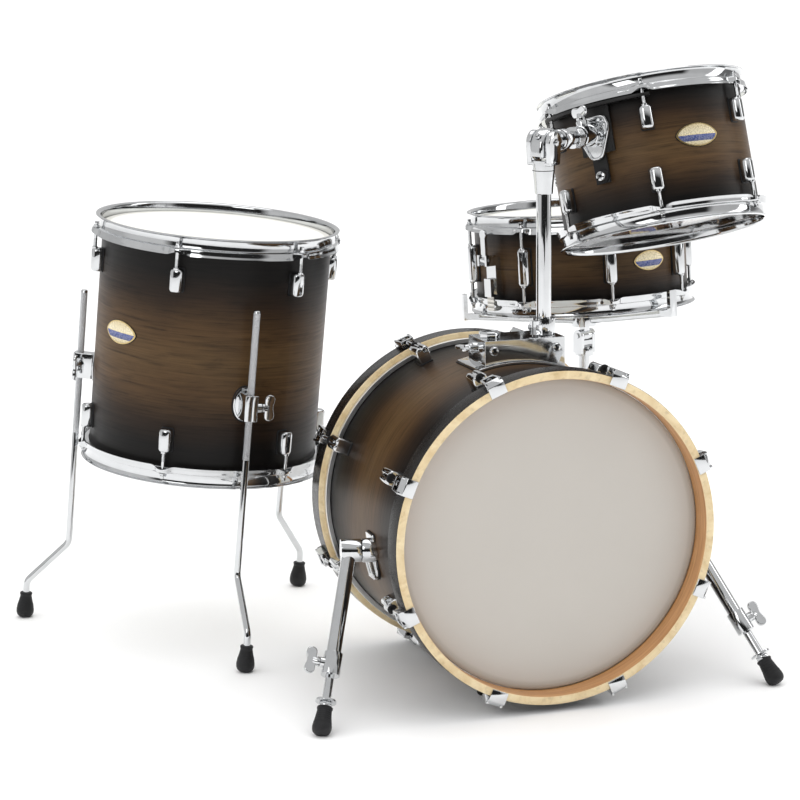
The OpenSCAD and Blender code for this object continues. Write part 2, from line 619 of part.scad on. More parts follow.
module floor_leg(i) color("silver") in_floor() rotate([0, 0, leg_dirs[i]]) translate([0, 0, foot_z(leg_dirs[i])]) leg_rod();
module floor_foot(i) color("black") in_floor() rotate([0, 0, leg_dirs[i]])
  translate([leg_foot_r, 0, foot_z(leg_dirs[i])]) rubber_foot(27, 9, leg_rod_r + 0.05, 9.9);
module floor_wing(i) color("silver") in_floor() rotate([0, 0, leg_dirs[i]]) translate([leg_r, 18.5, leg_clamp_z])
  rotate([-90, 0, 0]) rotate([0, 0, 90]) wing_bolt(12.6);

module floor_leg_left() floor_leg(0);
module floor_leg_front() floor_leg(1);
module floor_leg_back() floor_leg(2);
module floor_foot_left() floor_foot(0);
module floor_foot_front() floor_foot(1);
module floor_foot_back() floor_foot(2);
module floor_wing_left() floor_wing(0);
module floor_wing_front() floor_wing(1);
module floor_wing_back() floor_wing(2);

// ---- Snare drum ----

snare_half = snare_len / 2;
long_lug_h = 62;
gate_w = 34;
butt_dir = strainer_dir + 180;

module snare_shell() color("saddlebrown") in_snare() difference() {
  drum_shell(snare_r, snare_len);
  screw_holes(snare_r, snare_lug_n, snare_phase, [0]);
  rotate([0, 0, snare_phase + 112.5]) radial_rod(vent_r, snare_r - 20, snare_r + 5);
  for (d = [strainer_dir, butt_dir]) rotate([0, 0, d]) translate([0, 0, -20])
    radial_rod(screw_r + 0.6, snare_r - 20, snare_r + 5);
}

module snare_heads() color("whitesmoke") in_snare() both_ends(snare_half) drum_head(snare_r);

// The bottom hoop has a gate on each side, where the wires' straps pass
module snare_hoops() color("silver") in_snare() difference() {
  both_ends(snare_half) steel_hoop(snare_r, snare_lug_n, snare_phase);
  for (d = [strainer_dir, butt_dir]) rotate([0, 0, d])
    translate([snare_r, -gate_w / 2, -snare_half - 9]) cube([20, gate_w, 8]);
}

module snare_lugs() color("silver") in_snare() ring(snare_lug_n, snare_phase)
  drum_lug(snare_r, long_lug_h / 2, long_lug_h, "both");
module snare_rods() color("gray") in_snare() both_ends(snare_half) ring(snare_lug_n, snare_phase)
  translate([snare_r + rod_out, 0, -4]) tension_rod(46);
module snare_badge() color("gold") in_snare() drum_badge(snare_r, -73, 0, 33, 17);

lever_pivot = [snare_r + 22, 0, 12];

// Throw-off on one side and its butt plate on the other, each with a screw into the shell
module snare_strainer() color("silver") in_snare() {
  for (d = [strainer_dir, butt_dir]) rotate([0, 0, d]) {
    difference() {
      union() {
        translate([snare_r - 3, -13, -46]) cube([13, 26, d == strainer_dir ? 62 : 44]);
        translate([snare_r + 8, -9, -50]) cube([11, 18, 30]);
        if (d == strainer_dir) for (s = [-1, 1]) translate([snare_r + 9, s * 10.5 - 2.5, 2]) cube([19, 5, 18]);
      }
      translate([0, 0, -60]) cylinder(r = snare_r + 0.05, h = 120, $fn = 128);
      if (d == strainer_dir) translate(lever_pivot) rotate([90, 0, 0]) cylinder(r = 2.6, h = 60, center = true, $fn = 24);
    }
    translate([0, 0, -20]) {
      radial_rod(screw_r, snare_r - shell_t - 3, snare_r + 3);
      radial_rod(5, snare_r - shell_t - 3, snare_r - shell_t - 0.2);
    }
  }
}

// Lever with its pin, upright when the wires are on
module strainer_lever() color("silver") in_snare() rotate([0, 0, strainer_dir]) translate(lever_pivot) {
  rotate([90, 0, 0]) cylinder(r = 2.55, h = 28, center = true, $fn = 24);
  rotate([90, 0, 0]) cylinder(r = 5.5, h = 14, center = true, $fn = 32);
  translate([-2.5, -6, 3]) cube([5, 12, 36]);
  translate([0, 0, 42]) rotate([0, 90, 0]) cylinder(r = 8, h = 5, center = true, $fn = 32);
}

wire_n = 12;
wire_half = 150;

// Strands between two end plates, with a strap to the strainer and one to the butt plate
module snare_wires() color("silver") in_snare() rotate([0, 0, strainer_dir]) mirror([0, 0, 1]) {
  for (i = [0:wire_n - 1]) translate([0, (i - (wire_n - 1) / 2) * 2.3, snare_half + 1.7]) rotate([0, 90, 0])
    cylinder(r = 0.9, h = 2 * wire_half, center = true, $fn = 16);
  for (s = [-1, 1]) {
    translate([s * wire_half - 7, -15, snare_half + 0.7]) cube([14, 30, 2.6]);
    translate([s > 0 ? wire_half : -snare_r - 14.2, -9, snare_half + 3]) cube([snare_r + 14.2 - wire_half, 18, 0.6]);
    translate([s > 0 ? snare_r + 13.6 : -snare_r - 14.2, -9, 50.3]) cube([0.6, 18, snare_half - 46.7]);
  }
}

// ---- Snare stand ----

stand_reach = 222;
hub_z = 232;
base_foot = 11;

// Tripod with its sleeve; the legs run from the sleeve's collar down to rubber balls
module stand_base() color("silver") in_stand() {
  difference() {
    union() {
      translate([0, 0, 70]) cylinder(r = 13.5, h = hub_z - 20, $fn = 48);
      translate([0, 0, hub_z - 16]) cylinder(r = 22, h = 30, $fn = 48);
      translate([0, 0, 84]) cylinder(r = 19, h = 18, $fn = 48);
      translate([0, 0, hub_z + 36]) cylinder(r = 17, h = 28, $fn = 48);
      for (d = base_dirs) rotate([0, 0, d]) {
        leg_run = stand_reach - 16;
        leg_fall = hub_z - base_foot;
        translate([16, 0, hub_z]) rotate([0, 90 + atan2(leg_fall, leg_run), 0]) cylinder(r = 7, h = norm([leg_run, leg_fall]), $fn = 32);
        translate([14, 0, 93]) rotate([0, 90, 0]) cylinder(r = 5, h = leg_run * (hub_z - 93) / leg_fall, $fn = 32);
        translate([stand_reach, 0, base_foot]) sphere(r = base_foot, $fn = 48);
      }
    }
    translate([0, 0, 80]) cylinder(r = 9.5 + slide_fit, h = 400, $fn = 48);
  }
}

stand_top = stand_head[2];

// Height tube that ends in the fork of the basket's tilter
module stand_tube() color("silver") in_stand() on_stand_pin() {
  translate([0, 0, hub_z - 60]) cylinder(r = 9.5, h = stand_top - hub_z + 60 - 20, $fn = 48);
  translate([0, 0, stand_top - 34]) cylinder(r = 16, h = 12, $fn = 48);
  for (s = [-1, 1]) {
    translate([-10, s * 13 - 3.5, stand_top - 30]) cube([20, 7, 30]);
    translate([0, s * 13, stand_top]) rotate([90, 0, 0]) cylinder(r = 10, h = 7, center = true, $fn = 48);
  }
  translate([0, 0, stand_top]) rotate([90, 0, 0]) cylinder(r = 4.5, h = 38, center = true, $fn = 32);
}

// Basket: eye on the tilter's pin, hub, and three arms with claws that hold the bottom hoop
module stand_basket() color("silver") {
  in_kit() translate(stand_head) on_stand_pin() difference() {
    union() {
      rotate([90, 0, 0]) cylinder(r = 10, h = 18.4, center = true, $fn = 48);
      translate([-6, -6, 0]) cube([12, 12, 24]);
    }
    rotate([90, 0, 0]) cylinder(r = 4.5 + slide_fit, h = 60, center = true, $fn = 32);
  }
  in_snare() translate([0, 0, -basket_drop]) {
    translate([0, 0, -36]) cylinder(r = 21, h = 20, $fn = 48);
    for (d = stand_dirs) rotate([0, 0, d]) {
      translate([14, 0, -26]) rotate([0, 83.5, 0]) cylinder(r = 6, h = 178, $fn = 32);
      translate([184, -8, -10.1]) cube([25, 16, 10]);
      translate([202, -8, -10.1]) cube([7, 16, 44]);
    }
  }
}

bass_shell();
bass_hoops();
bass_resonant_head();
bass_batter_head();
bass_lugs();
bass_claws();
bass_rods();
tom_mount();
spur_brackets();
spur_tube_left();
spur_tube_right();
spur_rod_left();
spur_rod_right();
spur_foot_left();
spur_foot_right();
spur_wing_left();
spur_wing_right();
memory_lock();
holder_post();
mount_wing_bolt();
tilter_body();
tom_arm();
tom_shell();
tom_batter_head();
tom_clear_head();
tom_hoops();
tom_lugs();
tom_rods();
tom_suspension();
tom_bracket();
tom_wing_bolt();
tom_badge();
floor_shell();
floor_heads();
floor_hoops();
floor_lugs();
floor_rods();
floor_brackets();
floor_leg_left();
floor_leg_front();
floor_leg_back();
floor_foot_left();
floor_foot_front();
floor_foot_back();
floor_wing_left();
floor_wing_front();
floor_wing_back();
floor_badge();
snare_shell();
snare_heads();
snare_hoops();
snare_lugs();
snare_rods();
snare_strainer();
strainer_lever();
snare_wires();
snare_badge();
stand_base();
stand_tube();
stand_basket();
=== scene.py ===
from math import acos, asin, atan2, cos, degrees, pi, radians, sin, tan

import bmesh
import bpy
from mathutils import Matrix, Vector


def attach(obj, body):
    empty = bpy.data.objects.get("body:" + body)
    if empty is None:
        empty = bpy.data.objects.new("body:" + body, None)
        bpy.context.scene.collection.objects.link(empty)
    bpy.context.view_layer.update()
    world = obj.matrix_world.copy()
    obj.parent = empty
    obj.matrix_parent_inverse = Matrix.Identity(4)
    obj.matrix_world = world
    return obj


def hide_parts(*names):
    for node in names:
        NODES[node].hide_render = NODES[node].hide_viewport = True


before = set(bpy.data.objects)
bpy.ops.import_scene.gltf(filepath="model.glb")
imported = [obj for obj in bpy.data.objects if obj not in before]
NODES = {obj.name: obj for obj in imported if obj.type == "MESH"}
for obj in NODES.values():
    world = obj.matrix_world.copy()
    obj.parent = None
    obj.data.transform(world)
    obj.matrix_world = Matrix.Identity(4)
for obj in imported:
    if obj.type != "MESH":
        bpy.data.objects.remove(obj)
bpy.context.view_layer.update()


# ---- Frames of the drums and the hardware, in millimetres as in the CAD ----

def move(x, y, z):
    return Matrix.Translation((x, y, z))


def turn(axis, angle):
    return Matrix.Rotation(radians(angle), 4, axis)


def leaning(lean, way):
    return turn("Z", way) @ turn("Y", lean) @ turn("Z", -way)


def ring(n, phase):
    return [turn("Z", phase + i * 360 / n) for i in range(n)]


HERE = Matrix.Identity(4)
FLIP = Matrix.Diagonal((1, 1, -1, 1))
# Lays X, Y and Z along Y, Z and X, so that an outline drawn in XY faces outwards along X
SPREAD = Matrix(((0, 0, 1, 0), (1, 0, 0, 0), (0, 1, 0, 0), (0, 0, 0, 1)))
KIT = move(58, -267, 0)

BASS_R, BASS_LEN, BASS_TIP = 228.6, 336, 1.7
HOOP_R, HOOP_W = 245, 38
HOOP_IN = BASS_LEN / 2 - 4
HOOP_OUT = HOOP_IN + HOOP_W
BASS_Z = HOOP_R * cos(radians(BASS_TIP)) + (BASS_LEN / 2 + 34) * sin(radians(BASS_TIP))
IN_BASS = KIT @ move(0, 0, BASS_Z) @ turn("X", 90 - BASS_TIP)
ON_BASS = KIT @ move(0, 0, BASS_Z) @ turn("X", -BASS_TIP)

TOM_R, TOM_HALF, TOM_AT = 152.4, 101.5, Vector((311, 192, 736))
FLOOR_R, FLOOR_HALF, FLOOR_AT = 177.8, 177, Vector((-356, 380, 460))
SNARE_R, SNARE_HALF, SNARE_AT = 177.8, 69.85, Vector((336, 536, 535))
TOM_LEAN, TOM_WAY = 18.7, 101.4
FLOOR_LEAN, FLOOR_WAY = 4.9, -14.4
SNARE_LEAN, SNARE_WAY = 5.1, 111
IN_TOM = KIT @ Matrix.Translation(TOM_AT) @ leaning(TOM_LEAN, TOM_WAY)
IN_FLOOR = KIT @ Matrix.Translation(FLOOR_AT) @ leaning(FLOOR_LEAN, FLOOR_WAY)
IN_SNARE = KIT @ Matrix.Translation(SNARE_AT) @ leaning(SNARE_LEAN, SNARE_WAY)

# How many lugs each drum has round it, and the direction of the first
TOM_LUGS, FLOOR_LUGS, SNARE_LUGS, BASS_LUGS = (6, 6.8), (6, -3.2), (8, -7.2), (8, 22.5)
STRAINER_DIR = SNARE_LUGS[1] + 22.5 - 180
ROD_OUT, LUG_DROP = 12.5, 36
PIPE_R, POST_X, SPARE_X, MOUNT_TOP = 11.1, 58, -28, BASS_R + 35
MOUNT_MID, MOUNT_HALF = POST_X - 43, 63

# The arm runs from the tilter on the post to a point on the leaning tom's axis
lean, way = radians(TOM_LEAN), radians(TOM_WAY)
TOM_AXIS = Vector((sin(lean) * cos(way), sin(lean) * sin(way), cos(lean)))
POST_AXIS = Vector((0, sin(radians(BASS_TIP)), cos(radians(BASS_TIP))))
POST_ROOT = Vector((POST_X, 0, BASS_Z))
TILTER_H, ARM_ROOT = 548, 57
TILTER_AT = POST_ROOT + TILTER_H * POST_AXIS
ARM_LINE = TOM_AT + ARM_ROOT * TOM_AXIS - TILTER_AT
ARM_YAW = degrees(atan2(ARM_LINE.y, ARM_LINE.x))
ARM_RISE = degrees(asin(ARM_LINE.z / ARM_LINE.length))
IN_TILTER = KIT @ Matrix.Translation(TILTER_AT) @ turn("Z", ARM_YAW)
IN_ARM = IN_TILTER @ turn("Y", -ARM_RISE)
ARM_IN_TOM = leaning(TOM_LEAN, TOM_WAY).inverted() @ -ARM_LINE
BRACKET_DIR = degrees(atan2(ARM_IN_TOM.y, ARM_IN_TOM.x))
ARM_DIP = degrees(asin(ARM_IN_TOM.z / ARM_LINE.length))
KITE_Z = ARM_ROOT + (TOM_R + 12) * tan(radians(ARM_DIP))
AT_BRACKET = turn("Z", BRACKET_DIR)
ALONG_ARM = AT_BRACKET @ move(0, 0, ARM_ROOT) @ turn("Y", -ARM_DIP)
TOM_WING_AT = TOM_R + 41.5

LEG_DIRS = {"left": 153.5, "front": -86.5, "back": 33.5}
LEG_R, LEG_FOOT_R, LEG_ROD_R, CLAMP_Z = 205, 270, 5.3, -60
FOOT_R = 14
SPUR_PIVOT, SPUR_FOOT, SPUR_TUBE_SHARE = Vector((262, -42, 222)), Vector((352, -193, FOOT_R)), 0.72


# ---- Shapes, each a bmesh in millimetres ----

def rounded(points, radius, steps=4):
    """The closed outline with its corners rounded off."""
    out = []
    for i, p in enumerate(points):
        p, a, b = Vector(p), Vector(points[i - 1]), Vector(points[(i + 1) % len(points)])
        cut = min(radius, (a - p).length * 0.45, (b - p).length * 0.45)
        start, end = p + (a - p).normalized() * cut, p + (b - p).normalized() * cut
        for k in range(steps + 1):
            t = k / steps
            out.append(tuple(start * (1 - t) ** 2 + 2 * p * t * (1 - t) + end * t ** 2))
    return out


def lathe(profile, n=96, zones=None):
    """Turns a closed outline of (radius, height) points round Z. profile may be a function of the angle."""
    bm = bmesh.new()
    outline = profile if callable(profile) else lambda angle: profile
    angles = [2 * pi * i / n for i in range(n)]
    rows = [outline(a) for a in angles]
    rings = []
    for j in range(len(rows[0])):
        if all(row[j][0] < 1e-6 for row in rows):
            rings.append([bm.verts.new((0, 0, rows[0][j][1]))] * n)
        else:
            spots = [(row[j][0] * cos(a), row[j][0] * sin(a), row[j][1]) for a, row in zip(angles, rows)]
            rings.append([bm.verts.new(p) for p in spots])
    for j in range(len(rings)):
        low, high = rings[j], rings[(j + 1) % len(rings)]
        for i in range(n):
            k = (i + 1) % n
            corners = list(dict.fromkeys((low[i], low[k], high[k], high[i])))
            if len(corners) > 2:
                bm.faces.new(corners).material_index = zones[j] if zones else 0
    bmesh.ops.recalc_face_normals(bm, faces=bm.faces)
    return bm


def rod(r, low, high, chamfer=0.6, n=32):
    return pipe(r, 0, low, high, chamfer, n)


def pipe(outer, inner, low, high, chamfer=0.6, n=64):
    return lathe([(inner, low), (outer - chamfer, low), (outer, low + chamfer), (outer, high - chamfer),
                  (outer - chamfer, high), (inner, high)], n)


def placed(bm, matrix):
    bmesh.ops.transform(bm, matrix=matrix, verts=bm.verts)
    return bm


def soften(bm, width, segments):
    sharp = [e for e in bm.edges if len(e.link_faces) == 2 and e.calc_face_angle(0) > radians(30)]
    bmesh.ops.bevel(bm, geom=sharp, offset=width, segments=segments, affect="EDGES", profile=0.5,
                    clamp_overlap=True)
    return bm


def loft(sections):
    """A solid through outlines of equal count, closed at both ends."""
    bm = bmesh.new()
    rows = [[bm.verts.new(p) for p in section] for section in sections]
    n = len(rows[0])
    for low, high in zip(rows, rows[1:]):
        for i in range(n):
            bm.faces.new((low[i], low[(i + 1) % n], high[(i + 1) % n], high[i]))
    bm.faces.new(rows[0])
    bm.faces.new(rows[-1])
    bmesh.ops.recalc_face_normals(bm, faces=bm.faces)
    return bm


def prism(outline, low, high, width=0.0, segments=3):
    bm = loft([[(x, y, z) for x, y in outline] for z in (low, high)])
    return soften(bm, width, segments) if width else bm


def block(x, y, z, width=0.8, segments=3):
    """A block between two limits on each axis, with rounded edges."""
    return prism([(x[0], y[0]), (x[1], y[0]), (x[1], y[1]), (x[0], y[1])], z[0], z[1], width, segments)


def pillow(outline, centre, low, high, crown):
    """An upright body whose ends are drawn in by crown, like a die-cast lug."""
    curve = [(0, 1), (0.12, 0.62), (0.4, 0.25), (1, 0)]
    rows = [(low + crown * a * 1.4, crown * b) for a, b in curve]
    rows += [(high - crown * a * 1.4, crown * b) for a, b in reversed(curve)]
    sections = []
    for z, inset in rows:
        section = []
        for x, y in outline:
            d = Vector((x - centre[0], y - centre[1]))
            d *= max(0.0, 1 - inset / max(d.length, 1e-6))
            section.append((max(centre[0] + d.x, outline[0][0]), centre[1] + d.y, z))
        sections.append(section)
    return loft(sections)


def sweep(points, r, n=20):
    """A round rod along a path, in one skin."""
    sections, side = [], None
    points = [Vector(p) for p in points]
    radii = r if isinstance(r, list) else [r] * len(points)
    for i, p in enumerate(points):
        along = (points[min(i + 1, len(points) - 1)] - points[max(i - 1, 0)]).normalized()
        side = side if side else along.orthogonal()
        side = (side - side.dot(along) * along).normalized()
        up = along.cross(side)
        turns = [2 * pi * k / n for k in range(n)]
        sections.append([p + radii[i] * (cos(a) * side + sin(a) * up) for a in turns])
    return loft(sections)


class Piece:
    """One visible object: solids in the millimetres of a frame, each with its material."""

    def __init__(self, name, body, place, slot, replaces=()):
        self.name, self.body, self.place, self.slot = name, body, place, slot
        self.replaces = replaces
        self.bm, self.materials = bmesh.new(), []

    def add(self, solid, material, places=(HERE,)):
        """Adds a copy of the solid at each place. material is one, or one for each of the solid's zones."""
        materials = material if isinstance(material, list) else [material]
        for m in materials:
            if m not in self.materials:
                self.materials.append(m)
        index = [self.materials.index(m) for m in materials]
        for place in places:
            copy = placed(solid.copy(), place)
            if place.determinant() < 0:
                bmesh.ops.reverse_faces(copy, faces=copy.faces)
            for f in copy.faces:
                f.material_index, f.smooth = index[f.material_index if len(index) > 1 else 0], True
            mesh = bpy.data.meshes.new("copy")
            copy.to_mesh(mesh)
            copy.free()
            self.bm.from_mesh(mesh)
            bpy.data.meshes.remove(mesh)
        solid.free()
        return self

    def done(self, sharp=35):
        mesh = bpy.data.meshes.new(self.name)
        self.bm.to_mesh(mesh)
        self.bm.free()
        mesh.transform(Matrix.Scale(0.001, 4))
        mesh.set_sharp_from_angle(angle=radians(sharp))
        for m in self.materials:
            mesh.materials.append(m)
        obj = bpy.data.objects.new(self.name, mesh)
        bpy.context.scene.collection.objects.link(obj)
        place = self.place.copy()
        place.translation = place.translation * 0.001
        obj.matrix_world = place
        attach(obj, self.body)
        if self.replaces:
            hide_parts(*self.replaces)


# ---- Materials ----

def add_node(tree, kind, inputs=(), **settings):
    n = tree.nodes.new("ShaderNode" + kind)
    for k, v in settings.items():
        setattr(n, k, v)
    for k, v in dict(inputs).items():
        if isinstance(v, bpy.types.NodeSocket):
            tree.links.new(v, n.inputs[k])
        else:
            n.inputs[k].default_value = v
    return n


def add_ramp(tree, value, stops):
    n = add_node(tree, "ValToRGB", {"Fac": value})
    elements = n.color_ramp.elements
    while len(elements) < len(stops):
        elements.new(0.5)
    for e, (at, colour) in zip(elements, stops):
        e.position, e.color = at, (*colour, 1) if isinstance(colour, tuple) else (colour, colour, colour, 1)
    return n.outputs[0]


class Surface:
    """A node material in the making. Places are object coordinates, in metres."""

    def __init__(self, name, place=None, **settings):
        self.material = bpy.data.materials.new(name)
        self.material.use_nodes = True
        self.tree = self.material.node_tree
        self.shader = self.tree.nodes["Principled BSDF"]
        self.set(**settings)
        self.where = self.node("TexCoord").outputs["Object"]
        if place is not None:
            self.where = self.node("Mapping", {"Vector": self.where, "Location": place.translation * 0.001,
                                               "Rotation": place.to_euler()},
                                   vector_type="TEXTURE").outputs[0]

    def node(self, kind, inputs=(), **settings):
        return add_node(self.tree, kind, inputs, **settings)

    def set(self, **inputs):
        for k, v in inputs.items():
            socket = self.shader.inputs[k.replace("_", " ")]
            if isinstance(v, bpy.types.NodeSocket):
                self.tree.links.new(v, socket)
            else:
                socket.default_value = (*v, 1) if isinstance(v, tuple) and len(v) == 3 else v
        return self

    def noise(self, scale, stretch=(1, 1, 1), detail=4.0, rough=0.55, distortion=0.0):
        where = self.node("Mapping", {"Vector": self.where, "Scale": stretch}).outputs[0]
        return self.node("TexNoise", {"Vector": where, "Scale": scale, "Detail": detail, "Roughness": rough,
                                      "Distortion": distortion}).outputs[0]

    def ramp(self, value, *stops):
        return add_ramp(self.tree, value, stops)

    def maths(self, operation, a, b=0.0):
        return self.node("Math", {0: a, 1: b}, operation=operation).outputs[0]

    def span(self, value, low, high, to_low=0.0, to_high=1.0):
        return self.node("MapRange", {"Value": value, "From Min": low, "From Max": high, "To Min": to_low,
                                      "To Max": to_high}).outputs[0]

    def mix(self, factor, a, b, blend="MIX"):
        n = self.node("Mix", data_type="RGBA", blend_type=blend)
        for socket, v in zip((n.inputs[0], n.inputs[6], n.inputs[7]), (factor, a, b)):
            if isinstance(v, bpy.types.NodeSocket):
                self.tree.links.new(v, socket)
            else:
                socket.default_value = (*v, 1) if isinstance(v, tuple) else v
        return n.outputs[2]

    def bump(self, height, distance, strength):
        n = self.node("Bump", {"Height": height, "Distance": distance, "Strength": strength})
        if self.shader.inputs["Normal"].is_linked:
            self.tree.links.new(self.shader.inputs["Normal"].links[0].from_socket, n.inputs["Normal"])
        self.tree.links.new(n.outputs[0], self.shader.inputs["Normal"])
        return self

    def parts(self):
        """Distance from the frame's axis, and height along it."""
        xyz = self.node("SeparateXYZ", {0: self.where})
        flat = self.node("CombineXYZ", {"X": xyz.outputs[0], "Y": xyz.outputs[1]}).outputs[0]
        return self.node("VectorMath", {0: flat}, operation="LENGTH").outputs["Value"], xyz.outputs[2]


def chrome(name, tone=(0.66, 0.67, 0.68), low=0.035, high=0.11, ripple=0.00002):
    s = Surface(name, Metallic=1.0)
    smear = s.noise(35, detail=6)
    haze = s.noise(160, detail=3)
    s.set(Base_Color=s.mix(s.span(smear, 0.35, 0.7), tone, tuple(c * 0.93 for c in tone)))
    s.set(Roughness=s.span(s.maths("ADD", smear, s.maths("MULTIPLY", haze, 0.4)), 0.45, 0.95, low, high))
    s.bump(s.noise(60, detail=2), ripple, 0.35)
    return s.material


def knurled(name):
    s = Surface(name, Metallic=1.0, Base_Color=(0.72, 0.73, 0.75))
    xyz = s.node("SeparateXYZ", {0: s.where})
    round_ = s.maths("MULTIPLY", s.maths("ARCTAN2", xyz.outputs[1], xyz.outputs[0]), 16)
    along = s.maths("MULTIPLY", xyz.outputs[2], 2600)
    weave = s.maths("MULTIPLY", s.maths("SINE", s.maths("ADD", round_, along)),
                    s.maths("SINE", s.maths("SUBTRACT", round_, along)))
    s.set(Roughness=s.span(weave, -1, 1, 0.32, 0.12))
    s.bump(weave, 0.0004, 0.8)
    return s.material


def burst(name, place, half, radius, glow=1.0):
    """Satin black burst over maple: brown at the shell's middle, black at its edges, bare wood inside."""
    s = Surface(name, place)
    across, along = s.parts()
    grain = s.noise(1.0, (9, 9, 420), 5, 0.6, 0.4)
    figure = s.noise(1.0, (14, 14, 90), 4, 0.6, 1.2)
    cloud = s.noise(6, detail=2)
    height = s.maths("ADD", s.maths("DIVIDE", s.maths("ABSOLUTE", along), half * 0.001),
                     s.span(cloud, 0.3, 0.7, -0.06, 0.06))
    middle, brown = (tuple(c * glow for c in tone) for tone in ((0.098, 0.056, 0.023), (0.078, 0.042, 0.017)))
    tone = s.ramp(height, (0.0, middle), (0.26, brown), (0.54, (0.021, 0.0115, 0.0062)),
                  (0.76, (0.0045, 0.0037, 0.0033)))
    streaks = s.ramp(s.maths("ADD", s.maths("MULTIPLY", grain, 0.6), s.maths("MULTIPLY", figure, 0.4)),
                     (0.34, 0.42), (0.47, 0.85), (0.56, 1.0), (0.7, 1.25))
    outside = s.mix(1.0, tone, streaks, "MULTIPLY")
    inside = s.mix(s.span(grain, 0.35, 0.65), (0.20, 0.075, 0.035), (0.36, 0.155, 0.075))
    s.set(Base_Color=s.mix(s.maths("GREATER_THAN", across, (radius - 1.2) * 0.001), inside, outside))
    s.set(Roughness=s.span(grain, 0.3, 0.7, 0.46, 0.38), Specular_IOR_Level=0.2)
    s.bump(grain, 0.00006, 0.35)
    return s.material


def wood(name, dark, light, stretch, rough=(0.34, 0.46), bump=0.00008):
    s = Surface(name)
    grain = s.noise(1.0, stretch, 6, 0.62, 0.6)
    pores = s.noise(1.0, tuple(v * 3.5 for v in stretch), 3, 0.5)
    base = s.mix(s.span(grain, 0.34, 0.68), dark, light)
    s.set(Base_Color=s.mix(s.span(pores, 0.56, 0.72, 0, 0.35), base, tuple(c * 0.55 for c in dark)))
    s.set(Roughness=s.span(grain, 0.3, 0.7, *rough), Coat_Weight=0.3, Coat_Roughness=0.2)
    return s.bump(grain, bump, 0.4).material


def film(name, tone, edge, radius, grit=0.00006, rough=(0.5, 0.62)):
    """A coated head: sprayed grit, faint clouds and a darker ring near the rim, painted shade of the hoop."""
    s = Surface(name)
    across, _ = s.parts()
    cloud = s.noise(5, detail=5)
    spray = s.noise(1400, detail=2)
    base = s.mix(s.span(cloud, 0.3, 0.7), tone, tuple(c * 0.955 for c in tone))
    # Painted shade: the film turns to the darker edge tone from 13 mm to 9 mm inside the rim
    base = s.mix(s.span(across, (radius - 13) * 0.001, (radius - 9) * 0.001), base, edge)
    s.set(Base_Color=base, Roughness=s.span(spray, 0.3, 0.7, *rough))
    return s.bump(spray, grit, 0.5).bump(s.noise(9, detail=1), 0.0003, 0.15).material


def dark(name, tone, rough, scale=700, grit=0.00012):
    """Black rubber, plastic or lacquer: fine grain, and paler where it is worn."""
    s = Surface(name)
    grains = s.noise(scale, detail=3)
    worn = s.noise(22, detail=5)
    s.set(Base_Color=s.mix(s.span(worn, 0.45, 0.8), tone, tuple(c * 1.7 + 0.004 for c in tone)))
    s.set(Roughness=s.span(grains, 0.3, 0.7, *rough), Specular_IOR_Level=0.25)
    return s.bump(grains, grit, 0.5).material


def clear(name):
    s = Surface(name, Transmission_Weight=1.0, IOR=1.35, Base_Color=(0.97, 0.97, 0.97))
    s.set(Roughness=s.span(s.noise(14, detail=4), 0.3, 0.75, 0.01, 0.06))
    return s.bump(s.noise(18, detail=1), 0.0001, 0.1).material


def wires(name, place):
    """Coiled strands, drawn as a fine thread along each one."""
    s = Surface(name, place @ turn("Z", STRAINER_DIR), Metallic=1.0, Base_Color=(0.62, 0.60, 0.56))
    xyz = s.node("SeparateXYZ", {0: s.where})
    coil = s.maths("SINE", s.maths("ADD", s.maths("MULTIPLY", xyz.outputs[0], 3900),
                                   s.maths("MULTIPLY", xyz.outputs[2], 900)))
    s.set(Roughness=s.span(coil, -1, 1, 0.42, 0.2))
    return s.bump(coil, 0.0006, 0.9).material


def badge_face(name):
    """Cream and gold enamel with a plain blue band."""
    s = Surface(name, Metallic=0.35)
    y = s.node("SeparateXYZ", {0: s.where}).outputs[1]
    wave = s.maths("ADD", y, s.maths("MULTIPLY", s.noise(30, detail=1), 0.0006))
    band = s.ramp(s.span(wave, -0.016, 0.016), (0.0, (0.50, 0.40, 0.22)), (0.20, (0.72, 0.63, 0.42)),
                  (0.215, (0.012, 0.04, 0.20)), (0.50, (0.018, 0.06, 0.30)), (0.515, (0.80, 0.66, 0.36)),
                  (0.60, (0.78, 0.70, 0.50)), (1.0, (0.62, 0.50, 0.28)))
    speck = s.noise(500, detail=4)
    s.set(Base_Color=s.mix(s.span(speck, 0.3, 0.7, 0, 0.25), band, (0.9, 0.82, 0.6)))
    s.set(Roughness=s.span(speck, 0.3, 0.7, 0.22, 0.34))
    return s.bump(speck, 0.00008, 0.4).material


CHROME = chrome("chrome")
SATIN = chrome("steel", (0.70, 0.71, 0.72), 0.14, 0.28, 0.00004)
BAND = chrome("aluminium_band", (0.80, 0.80, 0.80), 0.3, 0.42, 0.00004)
KNURLED = knurled("knurled_steel")
# Black for the real rubber gaskets, pads, washers and nut ends, and also painted shade: dark discs, rings and
# sheets laid into slots, split lines, sockets, pockets and vent bores
GASKET_AND_SHADE = dark("black_gasket_and_painted_shade", (0.011, 0.011, 0.012), (0.5, 0.62))
RUBBER = dark("rubber", (0.014, 0.014, 0.015), (0.42, 0.6), 420)
BLACK = dark("black_plastic", (0.012, 0.012, 0.012), (0.26, 0.4), 900, 0.00008)
HOOP_BLACK = dark("hoop_lacquer", (0.012, 0.0105, 0.0095), (0.24, 0.34), 300, 0.00004)
MAPLE = wood("maple_edge", (0.66, 0.49, 0.26), (0.86, 0.72, 0.46), (30, 30, 30))
MAPLE_IN = wood("maple_inside", (0.42, 0.20, 0.075), (0.62, 0.34, 0.15), (10, 10, 260))
CLEAR = clear("clear_film")
BADGE = badge_face("badge_enamel")
BADGE_RIM = chrome("badge_rim", (0.62, 0.47, 0.22), 0.2, 0.32)


# ---- CAD nodes that stay: softened edges and a real finish ----

